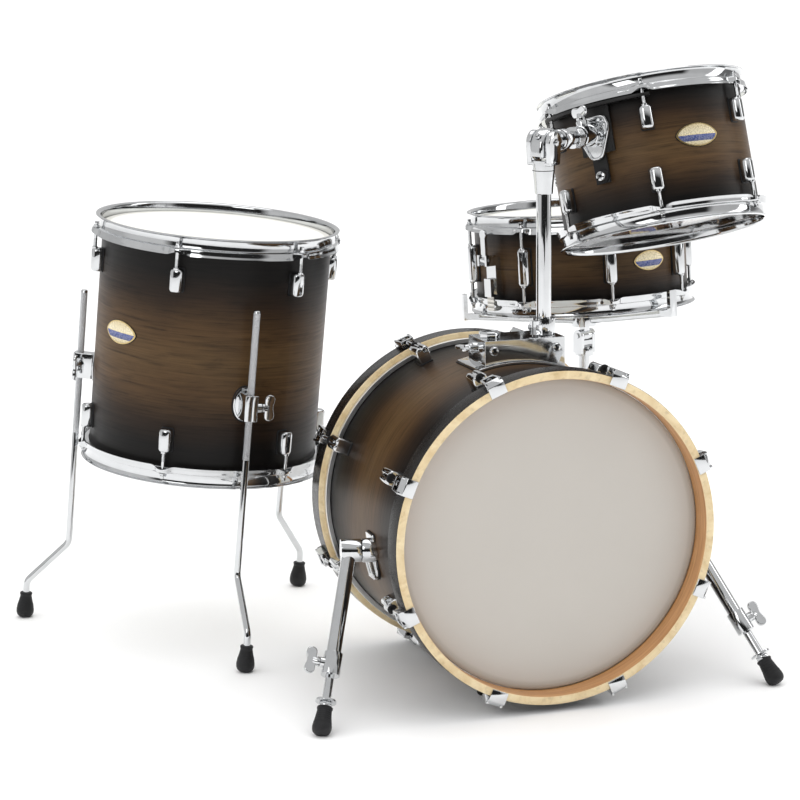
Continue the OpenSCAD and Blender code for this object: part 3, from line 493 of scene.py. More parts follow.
def keep(names, material, width=0.5):
    for name in names.split():
        obj = NODES[name]
        obj.data.materials.clear()
        obj.data.materials.append(material)
        if width:
            weld = obj.modifiers.new("Weld", "WELD")
            weld.merge_threshold = 0.00002
            edge = obj.modifiers.new("Edges", "BEVEL")
            edge.width, edge.segments = width * 0.001, 3
            edge.limit_method, edge.angle_limit = "ANGLE", radians(38)
            edge.harden_normals = edge.use_clamp_overlap = True


keep("bass_shell", burst("bass_burst", IN_BASS, BASS_LEN / 2, BASS_R), 0)
keep("tom_shell", burst("tom_burst", IN_TOM, TOM_HALF, TOM_R), 0)
keep("floor_shell", burst("floor_burst", IN_FLOOR, FLOOR_HALF, FLOOR_R), 0)
keep("snare_shell", burst("snare_burst", IN_SNARE, SNARE_HALF, SNARE_R, 0.85), 0)
keep("tom_mount spur_tube_left spur_tube_right memory_lock", CHROME, 1.0)
keep("snare_strainer strainer_lever stand_base stand_tube stand_basket", CHROME, 0.6)
keep("holder_post spur_rod_left spur_rod_right bass_rods", CHROME, 0.3)
keep("tom_suspension", BLACK, 0.6)
keep("snare_wires", wires("snare_strands", IN_SNARE), 0)


# ---- Parts that several drums share ----

def steel_hoop(r, n, phase):
    """Triple-flanged hoop: a rolled top, and a skirt that swells into an ear at each rod."""
    def outline(angle):
        off = (degrees(angle) - phase + 180 / n) % (360 / n) - 180 / n
        t = max(0.0, 1 - abs(radians(off)) * r / 17)
        ear = t * t * (3 - 2 * t)
        out, up = 7.6 * min(1.0, ear * 1.35), 5.5 * ear
        points = [(3.4, -5.6), (3.4, 10.2), (4.0, 12.4), (5.4, 13.9), (7.4, 14.5), (10.2, 14.5), (11.4, 14.0),
                  (11.8, 13.2), (11.2, 12.5), (8.4, 12.3), (6.6, 11.4), (5.6, 9.6), (5.3, 6.0), (5.3, -2.6),
                  (6.0, -3.8), (7.4, -4.3), (9.0 + out, -4.5), (10.4 + out, -5.2), (11.0 + out, -6.6),
                  (11.2 + out, -9.5 + up * 0.4), (11.9 + out * 0.93, -12.4 + up),
                  (13.2 + out * 0.8, -14.4 + up), (13.4 + out * 0.8, -15.4 + up),
                  (12.4 + out * 0.8, -15.7 + up), (10.4 + out * 0.85, -13.6 + up),
                  (8.8 + out * 0.9, -10.5 + up * 0.5), (8.2 + out * 0.85, -6.6), (7.6, -5.7)]
        return [(r + a, z) for a, z in points]
    return lathe(outline, 288)


def drum_head(r):
    """Film over the bearing edge and its aluminium ring. Zones: film, ring."""
    profile = [(0, 0.35), (r * 0.5, 0.35), (r - 5, 0.3), (r - 1, 0.1), (r + 1, -0.7), (r + 2.3, -2.4),
               (r + 2.8, -6.1), (r + 6.9, -6.1), (r + 7.6, -6.8), (r + 7.6, -11.8), (r + 6.9, -12.5),
               (r + 1.2, -12.5), (r + 1.0, -2.0), (r, -0.9), (r - 5, 0), (0, 0)]
    zones = [0] * 6 + [1] * 6 + [0] * 4
    return lathe(profile, 192, zones)


def tension_rod(length):
    """Washers, flange, square key head and threaded shank. Z = 0 on the ear."""
    threads, pitch, start = 12, 1.1, -length + 14
    grooves = [(0, start)]
    for i in range(threads):
        grooves += [(3.0, start + i * pitch), (2.7, start + 0.55 + i * pitch)]
    return [rod(5.4, 0, 1.1, 0.3), rod(4.6, 1.0, 1.9, 0.3),
            lathe([(0, 1.8), (4.2, 1.8), (4.2, 3.0), (3.2, 4.0), (0, 4.0)], 32),
            block((-2.6, 2.6), (-2.6, 2.6), (3.2, 9), 0.6), rod(2.75, -length, 2, 0.4, 24),
            lathe(grooves + [(0, start + threads * pitch)], 24)]


def barrel_lug(h):
    """Die-cast lug centred on Z = 0, radial along X from the shell's face at 0."""
    outline = rounded([(-0.4, -9.2), (8, -10.5), (14.2, -9.0), (17.4, -4.6), (17.4, 4.6), (14.2, 9.0),
                       (8, 10.5), (-0.4, 9.2)], 3.2, 3)
    return pillow(outline, (8, 0), -h / 2, h / 2, 3.6)


def lug_gasket(h):
    x, y = h / 2 + 0.9, 10.6
    return prism(rounded([(-x, -y), (x, -y), (x, y), (-x, y)], 4, 4), -1.2, 1.1, 0.5, 2)


def wing_bolt(shank):
    """Shank, washer, boss and two rounded wings. Z = 0 at the boss."""
    half = [(3, 3.5), (7, 5.2), (12, 4.6), (17, 5.6), (20.2, 9.5), (20.4, 14.5), (17.5, 19.4), (12.5, 20.8),
            (7, 19.6), (2.5, 18.2)]
    outline = rounded(half + [(-x, z) for x, z in reversed(half)], 2.5, 3)
    wings = placed(prism(outline, -2.6, 2.6, 1.6, 3), turn("X", 90))
    boss = lathe([(0, 0.5), (6.2, 0.5), (7, 1.3), (7, 3.4), (5.6, 5), (5.0, 9), (4.2, 10.6), (0, 11)], 32)
    return [rod(4, -shank, 1, 0.4, 24), rod(7.4, 0, 1.2, 0.3), boss, wings]


def rubber_foot(length, top):
    """A crutch tip: rounded sole, waist and lip, with fine moulding rings. Z = 0 at the ball's middle."""
    profile = [(0, -14), (6, -13.7), (9.5, -12.6), (12.2, -10.2), (13.7, -6.6), (14, -3.0), (13.9, 0.5),
               (13.3, 2.0), (13.5, 3.2), (12.9, 6.0)]
    for i in range(5):
        t = i / 5
        z = 7.5 + (length - 12) * t
        width = 12.6 + (top - 12.6) * t ** 0.8
        profile += [(width, z), (width - 0.35, z + 0.5), (width - 0.15, z + 1.0)]
    profile += [(top, length - 4), (top + 0.9, length - 3.2), (top + 0.9, length - 0.8), (top, length),
                (top - 3, length), (0, length - 1)]
    return lathe(profile, 48)


def wing_piece(name, body, place, shank, node):
    piece = Piece(name, body, place, "chrome_plate", [node])
    for solid in wing_bolt(shank):
        piece.add(solid, CHROME)
    piece.done()


def lens_badge(name, body, place, r, way, z, half_w, half_h, node):
    """A pointed-oval badge bent to the shell, with a rim. X runs round the shell, Y up, Z outwards."""
    at = place @ turn("Z", way) @ move(r, 0, z) @ SPREAD
    columns, rows = 40, 10

    def sheet(scale, low, high):
        bm, grid = bmesh.new(), []
        for i in range(columns + 1):
            x = half_w * scale * (-1 + 2 * i / columns) * 0.995
            y = half_h * scale * (1 - (x / (half_w * scale)) ** 2) ** 0.66
            grid.append([bm.verts.new((r * sin(x / r), y * (-1 + 2 * j / rows), r * cos(x / r) - r + high))
                         for j in range(rows + 1)])
        for a, b in zip(grid, grid[1:]):
            for j in range(rows):
                bm.faces.new((a[j], b[j], b[j + 1], a[j + 1]))
        edge = bmesh.ops.extrude_face_region(bm, geom=list(bm.faces))
        under = [v for v in edge["geom"] if isinstance(v, bmesh.types.BMVert)]
        bmesh.ops.translate(bm, verts=under, vec=(0, 0, low - high))
        bmesh.ops.recalc_face_normals(bm, faces=bm.faces)
        return bm

    piece = Piece(name, body, at, "badge_plate", [node])
    for scale, high, material in ((1.0, 0.9, HOOP_BLACK), (0.965, 1.15, BADGE_RIM), (0.88, 1.4, BADGE)):
        piece.add(sheet(scale, 0.1, high), material)
    piece.done()


def drum(name, body, place, r, half, lugs_round, lug_h, heads):
    """Hoops, heads, lugs and tension rods of a drum with steel hoops. A tall lug serves both ends."""
    ring_at, tall = ring(*lugs_round), lug_h > 50
    ends = [move(0, 0, half), move(0, 0, -half) @ FLIP]
    hoops = Piece(name + "_steel_hoops", body, place, "chrome_plate", [name + "_hoops"])
    hoops.add(steel_hoop(r, *lugs_round), CHROME, ends).done(40)
    for (label, nodes), (material, slot), end in zip(heads, HEADS[name], ends):
        Piece(label, body, place, slot, nodes).add(drum_head(r), [material, SATIN], [end]).done(30)
    rods = Piece(name + "_tension_rods", body, place, "plated_steel", [name + "_rods"])
    for solid in tension_rod(46 if tall else 44):
        rods.add(solid, CHROME, [e @ t @ move(r + ROD_OUT, 0, -4) for e in ends for t in ring_at])
    rods.done(40)
    lugs = Piece(name + "_cast_lugs", body, place, "chrome_plate", [name + "_lugs"])
    if tall:
        spots = [t @ move(r, 0, 0) for t in ring_at]
        collars = [t @ move(r + ROD_OUT, 0, s * (lug_h / 2)) for t in ring_at for s in (-1, 1)]
    else:
        spots = [e @ t @ move(r, 0, -LUG_DROP - lug_h / 2) for e in ends for t in ring_at]
        collars = [e @ t @ move(r + ROD_OUT, 0, -LUG_DROP) for e in ends for t in ring_at]
    lugs.add(barrel_lug(lug_h), CHROME, spots)
    lugs.add(lug_gasket(lug_h), GASKET_AND_SHADE, [s @ turn("Y", 90) for s in spots])
    lugs.add(rod(4.6, -2, 2, 0.8, 24), CHROME, collars)
    inner = [s @ move(-6.4, 0, 0) @ turn("Y", -90) for s in spots]
    lugs.add(rod(5.5, 0, 2.4, 0.6), SATIN, inner)
    lugs.done(38)


# Darker film tone near the rim: painted shade of the hoop
HOOP_SHADE_FILM = (0.62, 0.61, 0.57)
WHITE_14 = (film("floor_coating", (0.80, 0.80, 0.75), HOOP_SHADE_FILM, FLOOR_R), "coated_white_film")
WHITE_12 = (film("tom_coating", (0.80, 0.80, 0.76), HOOP_SHADE_FILM, TOM_R), "coated_white_film")
HEADS = {"tom": (WHITE_12, (CLEAR, "clear_film")), "floor": (WHITE_14, WHITE_14),
         "snare": (WHITE_14, WHITE_14)}

drum("tom", "rack_tom", IN_TOM, TOM_R, TOM_HALF, TOM_LUGS, 36,
     [("tom_coated_head", ["tom_batter_head"]), ("tom_clear_film", ["tom_clear_head"])])
drum("floor", "floor_tom", IN_FLOOR, FLOOR_R, FLOOR_HALF, FLOOR_LUGS, 36,
     [("floor_coated_head", ["floor_heads"]), ("floor_lower_head", [])])
drum("snare", "snare_drum", IN_SNARE, SNARE_R, SNARE_HALF, SNARE_LUGS, 62,
     [("snare_coated_head", ["snare_heads"]), ("snare_lower_head", [])])

lens_badge("tom_oval_badge", "rack_tom", IN_TOM, TOM_R, -85, 12, 37, 18.5, "tom_badge")
lens_badge("floor_oval_badge", "floor_tom", IN_FLOOR, FLOOR_R, -156, 26, 37, 18.5, "floor_badge")
lens_badge("snare_oval_badge", "snare_drum", IN_SNARE, SNARE_R, -73, 0, 33, 17, "snare_badge")


def grommet(name, body, place, r):
    """Vent grommet: a dished chrome ring round a dark disc, painted shade standing in for the bore. X points
    out of the shell.
    """
    rim = [(6.2, -2), (6.2, 1.0), (7.0, 1.9), (8.6, 2.1), (10.2, 1.4), (10.8, 0.2), (10.8, -0.5), (6.2, -0.5)]
    # A dark disc down the hole: painted shade of the bore
    bore_shade = lathe([(0, -2.2), (6.3, -2.2), (6.3, -1.2), (0, -1.2)], 32)
    piece = Piece(name, body, place @ move(r, 0, 0) @ turn("Y", 90), "plated_steel")
    piece.add(lathe(rim, 48), CHROME).add(bore_shade, GASKET_AND_SHADE).done()


grommet("bass_vent", "bass_drum", IN_BASS @ turn("Z", -90) @ move(0, 0, -60), BASS_R)
grommet("tom_vent", "rack_tom", IN_TOM @ turn("Z", 156.8), TOM_R)
grommet("floor_vent", "floor_tom", IN_FLOOR @ turn("Z", 86.8), FLOOR_R)
grommet("snare_vent", "snare_drum", IN_SNARE @ turn("Z", 105.3), SNARE_R)


# ---- Bass drum ----

def bass_hoop():
    """Wooden hoop. Zones: 0 black outside, 1 bare edges, 2 stained inside."""
    r, i, w = HOOP_R, BASS_R + 3.4, HOOP_W
    profile = [(i, 1.5), (i + 1.5, 0), (r - 2.0, 0), (r, 1.6), (r, w - 2.2), (r - 0.6, w - 0.8), (r - 2.2, w),
               (i + 2.2, w), (i + 0.6, w - 0.7), (i, w - 2.2)]
    zones = [1, 1, 1, 0, 0, 1, 1, 1, 2, 2]
    return lathe(profile, 256, zones)


def bass_head():
    r = BASS_R
    profile = [(0, 0.35), (r * 0.5, 0.35), (r - 6, 0.3), (r - 1, 0.1), (r + 1.6, -1.2), (r + 2.5, -4.2),
               (r + 7.2, -4.2), (r + 8, -5), (r + 8, -12.2), (r + 7.2, -13), (r + 1.2, -13), (r + 0.9, -2.4),
               (r, -1.0), (r - 6, 0), (0, 0)]
    return lathe(profile, 256, [0] * 5 + [1] * 6 + [0] * 4)


Piece("bass_wood_hoops", "bass_drum", IN_BASS, "maple_hoop", ["bass_hoops"]).add(
    bass_hoop(), [HOOP_BLACK, MAPLE, MAPLE_IN], [move(0, 0, HOOP_IN), move(0, 0, -HOOP_IN) @ FLIP]).done(40)
# Its second, darker tone is painted shade near the rim, under the deep wooden hoop
GREY = film("resonant_coating", (0.56, 0.53, 0.487), (0.48, 0.455, 0.41), BASS_R + 2, 0.00003, (0.42, 0.52))
WHITE_18 = film("batter_coating", (0.78, 0.78, 0.74), HOOP_SHADE_FILM, BASS_R)
Piece("bass_front_film", "bass_drum", IN_BASS, "coated_grey_film", ["bass_resonant_head"]).add(
    bass_head(), [GREY, BAND], [move(0, 0, BASS_LEN / 2)]).done(30)
Piece("bass_rear_film", "bass_drum", IN_BASS, "coated_white_film", ["bass_batter_head"]).add(
    bass_head(), [WHITE_18, BAND], [move(0, 0, -BASS_LEN / 2) @ FLIP]).done(30)

BASS_SPOTS = [m @ t for m in (HERE, FLIP) for t in ring(*BASS_LUGS)]

# Twin-ridged lugs with a rubber gasket and a dark nut end towards the hoop
LUG_MID, LUG_HALF = BASS_LEN / 2 - 43, 17
half = [(-0.5, -9.5), (14, -11.2), (23, -10.6), (26.2, -7.0), (26.2, -3.4), (24.2, -1.4)]
lug_section = rounded([(BASS_R + x, y) for x, y in half + [(x, -y) for x, y in reversed(half)]], 1.6, 3)
lugs = Piece("bass_cast_lugs", "bass_drum", IN_BASS, "chrome_plate", ["bass_lugs"])
lugs.add(pillow(lug_section, (BASS_R + 14, 0), LUG_MID - LUG_HALF, LUG_MID + LUG_HALF, 2.4), CHROME,
         BASS_SPOTS)
gasket = rounded([(-18.5, -10.8), (18.5, -10.8), (18.5, 10.8), (-18.5, 10.8)], 4, 4)
lugs.add(prism(gasket, -1.4, 1.3, 0.5, 2), GASKET_AND_SHADE,
         [s @ move(BASS_R, 0, LUG_MID) @ turn("Y", 90) for s in BASS_SPOTS])
lugs.add(rod(7.2, 0, 3.4, 0.8), GASKET_AND_SHADE, [s @ move(HOOP_R + 5, 0, BASS_LEN / 2 - 27.4) for s in BASS_SPOTS])
lugs.add(rod(6, 0, 2.6, 0.6), SATIN, [s @ move(BASS_R - 8.8, 0, LUG_MID) @ turn("Y", 90) for s in BASS_SPOTS])
lugs.done(38)

# Claws: hook over the hoop's edge, two cheeks that close in towards the lug, and a dark sheet painted as
# shade in the pocket for the key bolt
ho, hr = HOOP_OUT, HOOP_R
claws = Piece("bass_hoop_claws", "bass_drum", IN_BASS, "chrome_plate", ["bass_claws"])
hook = prism(rounded([(hr - 12, ho + 0.35), (hr - 12, ho + 2.6), (hr + 5, ho + 2.7), (hr + 11.8, ho - 5.5),
                      (hr + 11.8, ho - 9), (hr + 9, ho - 9), (hr + 9, ho - 6), (hr + 4, ho + 0.35)], 0.9, 2),
             -13, 13, 0.7, 2)
claws.add(placed(hook, turn("X", 90)), CHROME, BASS_SPOTS)
for side in (-1, 1):
    cheek = [(7.5, -30), (10.5, -30), (13, -6), (13, -1.5), (9.6, -1.5), (9.0, -7)]
    cheek = prism([(side * x, ho + z) for x, z in cheek], hr + 0.4, hr + 11.8, 0.6, 2)
    claws.add(placed(cheek, SPREAD), CHROME, BASS_SPOTS)
claws.add(block((hr + 0.4, hr + 11.8), (-9, 9), (ho - 30, ho - 25.4), 0.6), CHROME, BASS_SPOTS)
# Painted shade: a dark sheet lining the pocket between the cheeks
claws.add(block((hr + 0.4, hr + 2.6), (-9.4, 9.4), (ho - 28, ho - 1), 0.3), GASKET_AND_SHADE, BASS_SPOTS)
claws.done(38)


# ---- Feet, legs and wing bolts ----

def foot_z(way):
    """Height of a foot's middle in the leaning floor tom's frame, when its sole is on the floor."""
    lean = radians(FLOOR_LEAN)
    return (FOOT_R - FLOOR_AT.z + sin(lean) * cos(radians(way - FLOOR_WAY)) * LEG_FOOT_R) / cos(lean)


def leg_path():
    """From the foot up: short upright, bend out, slope, bend back, long straight top."""
    knee, heel, bend, top = 118, 46, 22, 530
    lean = atan2(LEG_FOOT_R - LEG_R, knee - heel)
    cut = bend * tan(lean / 2)
    arc = [lean * i / 10 for i in range(11)]
    return ([(LEG_FOOT_R, 0, 11)]
            + [(LEG_FOOT_R - bend * (1 - cos(a)), 0, heel - cut + bend * sin(a)) for a in arc]
            + [(LEG_R + bend * (1 - cos(a)), 0, knee + cut - bend * sin(a)) for a in reversed(arc)]
            + [(LEG_R, 0, top - 1.2), (LEG_R, 0, top)])


for label, way in LEG_DIRS.items():
    at = IN_FLOOR @ turn("Z", way) @ move(0, 0, foot_z(way))
    path = leg_path()
    leg = Piece("leg_rod_" + label, "leg_" + label, at @ move(LEG_R, 0, 0), "chrome_plate",
                ["floor_leg_" + label])
    leg.add(sweep([(x - LEG_R, y, z) for x, y, z in path],
                  [LEG_ROD_R] * (len(path) - 1) + [LEG_ROD_R - 1.2], 28), CHROME)
    leg.add(pipe(LEG_ROD_R + 0.04, LEG_ROD_R - 0.5, 300, 526, 0.05, 48), KNURLED)
    leg.done(50)
    Piece("leg_tip_" + label, "leg_" + label, at @ move(LEG_FOOT_R, 0, 0), "rubber_feet",
          ["floor_foot_" + label]).add(rubber_foot(27, 9), RUBBER).done(60)
    at = IN_FLOOR @ turn("Z", way) @ move(LEG_R, 18.5, CLAMP_Z) @ turn("X", -90) @ turn("Z", 90)
    wing_piece("leg_wing_bolt_" + label, "leg_wing_" + label, at, 12.6, "floor_wing_" + label)


def clamp_outline(low, high, half, hole_at, hole_r):
    """A rounded rectangle along X with a hole that a thin slit joins to its far side."""
    corners = rounded([(low, -half), (high, -half), (high, half), (low, half)], 4.5, 4)
    edge = asin(0.4 / hole_r)
    hole = [(hole_at + hole_r * cos(a), -hole_r * sin(a))
            for a in (edge + (2 * pi - 2 * edge) * k / 32 for k in range(33))]
    return corners[:10] + [(high, -0.4)] + hole + [(high, 0.4)] + corners[10:]


OVAL = Matrix.Diagonal((1, 0.78, 1.12, 1))
brackets = Piece("leg_clamps", "floor_tom", IN_FLOOR, "chrome_plate", ["floor_brackets"])
for way in LEG_DIRS.values():
    at = turn("Z", way) @ move(0, 0, CLAMP_Z)
    seat = at @ OVAL @ move(FLOOR_R - 0.4, 0, 0) @ turn("Y", 90)
    brackets.add(lathe([(0, -1), (24.6, -1), (25.4, 0.4), (24.8, 1.6), (0, 1.6)], 64), GASKET_AND_SHADE, [seat])
    brackets.add(lathe([(0, 0.5), (23, 0.5), (23.8, 2.0), (23.2, 3.6), (21, 4.4), (19.4, 3.6), (12, 5.4),
                        (0, 6)], 64), CHROME, [seat])
    brackets.add(prism(clamp_outline(FLOOR_R + 3, LEG_R + 10, 10.5, LEG_R, LEG_ROD_R + 0.1), -20, 20, 1.6, 3),
                 CHROME, [at])
    brackets.add(rod(7.8, 9.5, 18.2, 1.2), CHROME, [at @ move(LEG_R, 0, 0) @ turn("X", -90)])
    for z in (-14, 14):
        brackets.add(rod(5, 0, 2.6, 0.6), SATIN, [at @ move(FLOOR_R - 8.4, 0, z) @ turn("Y", -90)])
brackets.done()

for side, label in ((1, "right"), (-1, "left")):
    mirror = Matrix.Diagonal((side, 1, 1, 1))
    pivot, foot = mirror @ SPUR_PIVOT, mirror @ SPUR_FOOT
    line = foot - pivot
    out_way, down_way = degrees(atan2(line.y, line.x)), degrees(acos(line.z / line.length))
    at = KIT @ Matrix.Translation(pivot) @ turn("Z", out_way) @ turn("Y", down_way)
    tip = Piece("spur_tip_" + label, "spur_end_" + label, at @ move(0, 0, line.length) @ turn("X", 180),
                "rubber_feet", ["spur_foot_" + label])
    nut = lathe([(6.4, 27), (9.2, 27), (10, 28), (10, 33.4), (9.2, 34.4), (6.4, 34.4)], 6)
    tip.add(rubber_foot(28, 10.5), RUBBER).add(nut, CHROME).done(50)
    collar = at @ move(0, 0, SPUR_TUBE_SHARE * line.length - 17) @ turn("Z", side * 115) @ turn("Y", 90)
    wing_piece("spur_wing_bolt_" + label, "spur_wing_" + label, collar @ move(0, 0, 18.5), 11.4,
               "spur_wing_" + label)

# Spur brackets: a plate on the shell, the hinge's round head and two ribs that spread downwards
brackets = Piece("spur_bases", "bass_drum", KIT, "chrome_plate", ["spur_brackets"])
line = SPUR_FOOT - SPUR_PIVOT
for side in (1, -1):
    mirror = Matrix.Diagonal((side, 1, 1, 1))
    hinge_way = degrees(atan2(line.x, line.length - line.y))
    hinge = mirror @ Matrix.Translation(SPUR_PIVOT) @ turn("Z", hinge_way) @ turn("Y", 90)
    slope = degrees(asin((SPUR_PIVOT.z - BASS_Z) / BASS_R))
    seat = mirror @ move(0, SPUR_PIVOT.y, BASS_Z) @ turn("Y", -slope)
    head = lathe([(0, -43), (12, -43), (16, -41), (18, -37), (18, -20), (17, -17.4), (15.5, -16.6),
                  (0, -16.6)], 48)
    brackets.add(head, CHROME, [hinge])
    plate = rounded([(-17, 24), (17, 24), (15, -30), (10, -46), (-10, -46), (-15, -30)], 7, 4)
    brackets.add(prism(plate, BASS_R - 2.6, BASS_R + 3.6, 1.2, 2), CHROME, [seat @ SPREAD])
    rim = rounded([(-18.2, 25.2), (18.2, 25.2), (16.2, -31), (11, -47.2), (-11, -47.2), (-16.2, -31)], 7, 4)
    brackets.add(prism(rim, BASS_R - 3, BASS_R + 0.8, 0.4, 2), GASKET_AND_SHADE, [seat @ SPREAD])
    for lean in (-1, 1):
        rib = prism(rounded([(lean * 4 - 3.2, 8), (lean * 4 + 3.2, 8), (lean * 9 + 2.6, -42),
                             (lean * 9 - 2.6, -42)], 2, 3), BASS_R, BASS_R + 15, 1.2, 2)
        for v in rib.verts:
            if v.co.z > BASS_R + 8 and v.co.y < -20:
                v.co.z -= 7
        brackets.add(rib, CHROME, [seat @ SPREAD])
    brackets.add(block((-12, 12), (-44, -36), (BASS_R, BASS_R + 8), 1.6), CHROME, [seat @ SPREAD])
    for z in (-17, 17):
        at = mirror @ move(BASS_R - 8.4, SPUR_PIVOT.y, SPUR_PIVOT.z + z) @ turn("Y", -90)
        brackets.add(rod(5, 0, 2.6, 0.6), SATIN, [at])
brackets.done()

# Box on top of the bass drum: rubber pad, and a faceted guard ring round the spare receiver
mount = Piece("mount_trim", "bass_drum", ON_BASS, "black_strip")
PAD_W, PAD_STEPS = 158, 24
bearings = [asin(MOUNT_MID / BASS_R) + (k / PAD_STEPS - 0.5) * PAD_W / BASS_R for k in range(PAD_STEPS + 1)]
arc = [(BASS_R + 0.1) * Vector((sin(a), cos(a))) for a in bearings]
arc += [v * ((BASS_R + 1.6) / (BASS_R + 0.1)) for v in reversed(arc)]
mount.add(prism([tuple(v) for v in arc], -48.4, 48.4, 0.3, 1), GASKET_AND_SHADE, [turn("X", 90)]).done()
guard = [(11.4, -0.5), (16.5, -0.5), (16.5, 7), (14.5, 9.5), (11.4, 9.5)]
guard = soften(lathe([(r, MOUNT_TOP + z) for r, z in guard], 8), 0.6, 2)
receiver = Piece("spare_receiver_ring", "bass_drum", ON_BASS @ move(SPARE_X, 0, 0) @ turn("Z", 12),
                 "chrome_plate")
receiver.add(guard, CHROME).done(30)
screws = Piece("mount_screws", "bass_drum", ON_BASS, "plated_steel")
for x in (POST_X + 6, SPARE_X - 6):
    at = move(x, -37, BASS_R + 20) @ turn("X", 90)
    screws.add(lathe([(0, 0), (6.2, 0), (6.2, 1.0), (5.2, 2.2), (2.8, 2.6), (2.8, 0.9), (0, 0.9)], 32),
               CHROME, [at])
    # A dark square in each head's socket: painted shade of the recess
    screws.add(rod(2.8, 0.5, 1.2, 0.1, 4), GASKET_AND_SHADE, [at])
screws.done()

# Tilter: a tapered sleeve and fork on the post, and the elbow that carries the arm
fork = Piece("tilter_fork", "post", IN_TILTER, "chrome_plate", ["tilter_body"])
on_post = IN_TILTER.inverted() @ ON_BASS @ move(POST_X, 0, TILTER_H - 76)
fork.add(lathe([(11.15, 0), (12.8, 0), (13.6, 0.8), (14.2, 10), (15.4, 24), (16.6, 34), (16.6, 49.4),
                (15.8, 50.2), (0, 50.2), (0, 45), (11.15, 45)], 64), CHROME, [on_post])
# A thin dark ring: painted shade in the sleeve's split line
fork.add(lathe([(16.4, 34.2), (16.75, 34.4), (16.75, 35.4), (16.4, 35.6)], 64), GASKET_AND_SHADE, [on_post])
fork.add(block((-14.5, 14.5), (-20.4, 20.4), (-33.4, -26.6), 2.2, 4), CHROME)
crown = [(17.5 * cos(radians(a)), 17.5 * sin(radians(a))) for a in range(0, 181, 12)]
tombstone = [(-14, -33), (14, -33), (17, -8)] + crown + [(-17, -8)]
for low in (12, -20.4):
    fork.add(prism(tombstone, low, low + 8.4, 1.6, 3), CHROME, [turn("X", 90)])
# Painted shade: a dark sheet over the slot in the cheek
slot = rounded([(-3.6, -27), (3.6, -27), (3.6, 6), (-3.6, 6)], 3.5, 5)
fork.add(prism(slot, 20.3, 20.8, 0.1, 1), GASKET_AND_SHADE, [turn("X", 90)])
fork.add(lathe([(0, 19), (9, 19), (9, 21.4), (8, 22.4), (4, 22.8), (0, 22.8)], 48), CHROME, [turn("X", -90)])
for face in (90, -90):
    fork.add(rod(4.4, 20, 23.6, 0.8, 24), CHROME, [turn("X", face)])
    fork.add(block((-2.7, 2.7), (-2.7, 2.7), (23, 25), 0.5), CHROME, [turn("X", face)])
fork.done(40)


def elbow():
    """From under the hinge up and over into the arm: a squarish section that turns round."""
    line = [(-9.5, -21, 12.6), (-9.8, -19, 13.8), (-9.8, -11, 14), (-8.6, -4, 14.4), (-5, 2, 14.8),
            (0.5, 5.2, 15), (7, 6, 14.6), (14, 5, 13.8), (22, 2.8, 12.8), (28, 1, 12.2), (34, 0, 12),
            (46, 0, 11.8)]
    sections = []
    for i, (x, z, thick) in enumerate(line):
        before, after = Vector(line[max(i - 1, 0)][:2]), Vector(line[min(i + 1, len(line) - 1)][:2])
        along = (after - before).normalized()
        side = 11.3 if x < 28 else 11.6
        power = 0.42 if x < 20 else 0.42 + 0.58 * min(1, (x - 20) / 14)
        if i == 0:
            thick, side = thick - 1.5, side - 1.2
        section = []
        for k in range(40):
            a = 2 * pi * k / 40
            c, d = cos(a), sin(a)
            c, d = abs(c) ** power * (1 if c > 0 else -1), abs(d) ** power * (1 if d > 0 else -1)
            section.append((x - along.y * thick * c, side * d, z + along.x * thick * c))
        sections.append(section)
    return loft(sections)


arm_end = ARM_LINE.length - TOM_R - 16
arm = Piece("tilter_elbow", "arm", IN_ARM, "chrome_plate", ["tom_arm"])
arm.add(elbow(), CHROME)
arm.add(rod(PIPE_R, 30, arm_end, 0.8, 64), CHROME, [turn("Y", 90)])
collar = [(0, 40), (14.2, 40), (15.6, 41.4), (15.6, 46), (14.8, 47), (15.6, 48), (15.6, 60), (14.2, 61.6),
          (0, 61.6)]
ribs = [(0, 82)]
for k in range(5):
    ribs += [(r, low + 3.2 * k) for r, low in ((14.4, 82), (16.2, 82.8), (16.2, 84.6), (14.4, 85.2))]
for profile in (collar, ribs + [(0, 98.4)]):
    arm.add(lathe(profile, 64), CHROME, [turn("Y", 90)])
key = move(-17.6, 0, 10.5) @ turn("Y", -52)
arm.add(lathe([(3.2, 0), (5.6, 0), (5.6, 1.6), (4.8, 2.2), (3.2, 2.2)], 32), CHROME, [key])
# A dark disc in the key bolt's recess: painted shade
arm.add(rod(3.4, 0, 1.0, 0.1, 24), GASKET_AND_SHADE, [key])
arm.add(block((-2.2, 2.2), (-2.2, 2.2), (0, 3), 0.4), CHROME, [key])
arm.done(40)

# Kite-shaped bracket on the rack tom: dished plate with a raised rim, the arm's socket and a lower bolt
kite = rounded([(-23, 27), (23, 27), (30, 8), (9, -40), (-9, -40), (-30, 8)], 10, 5)
rim = [(TOM_R + 14.4, y * 0.92, z * 0.93 - 0.4) for y, z in kite]
bracket = Piece("tom_kite", "rack_tom", IN_TOM @ AT_BRACKET, "chrome_plate", ["tom_bracket"])
bracket.add(prism(kite, TOM_R + 9.3, TOM_R + 14.2, 1.4, 3), CHROME, [move(0, 0, KITE_Z) @ SPREAD])
bracket.add(sweep(rim + rim[:2], 2.4, 16), CHROME, [move(0, 0, KITE_Z)])
on_arm = AT_BRACKET.inverted() @ ALONG_ARM
socket = [(PIPE_R + 0.1, 15.6), (19, 15.6), (18.6, 18), (16.6, 22), (16.6, 30), (15.4, 31.4), (15.4, 49),
          (16.6, 50.4), (16.6, 58.6), (15.4, 60), (PIPE_R + 0.1, 60)]
bracket.add(lathe([(r, TOM_R + out) for r, out in socket], 64), CHROME, [on_arm @ turn("Y", 90)])
boss = lathe([(4.5, 14), (8.5, 14), (8.5, 22.6), (7.6, 24), (4.5, 24)], 48)
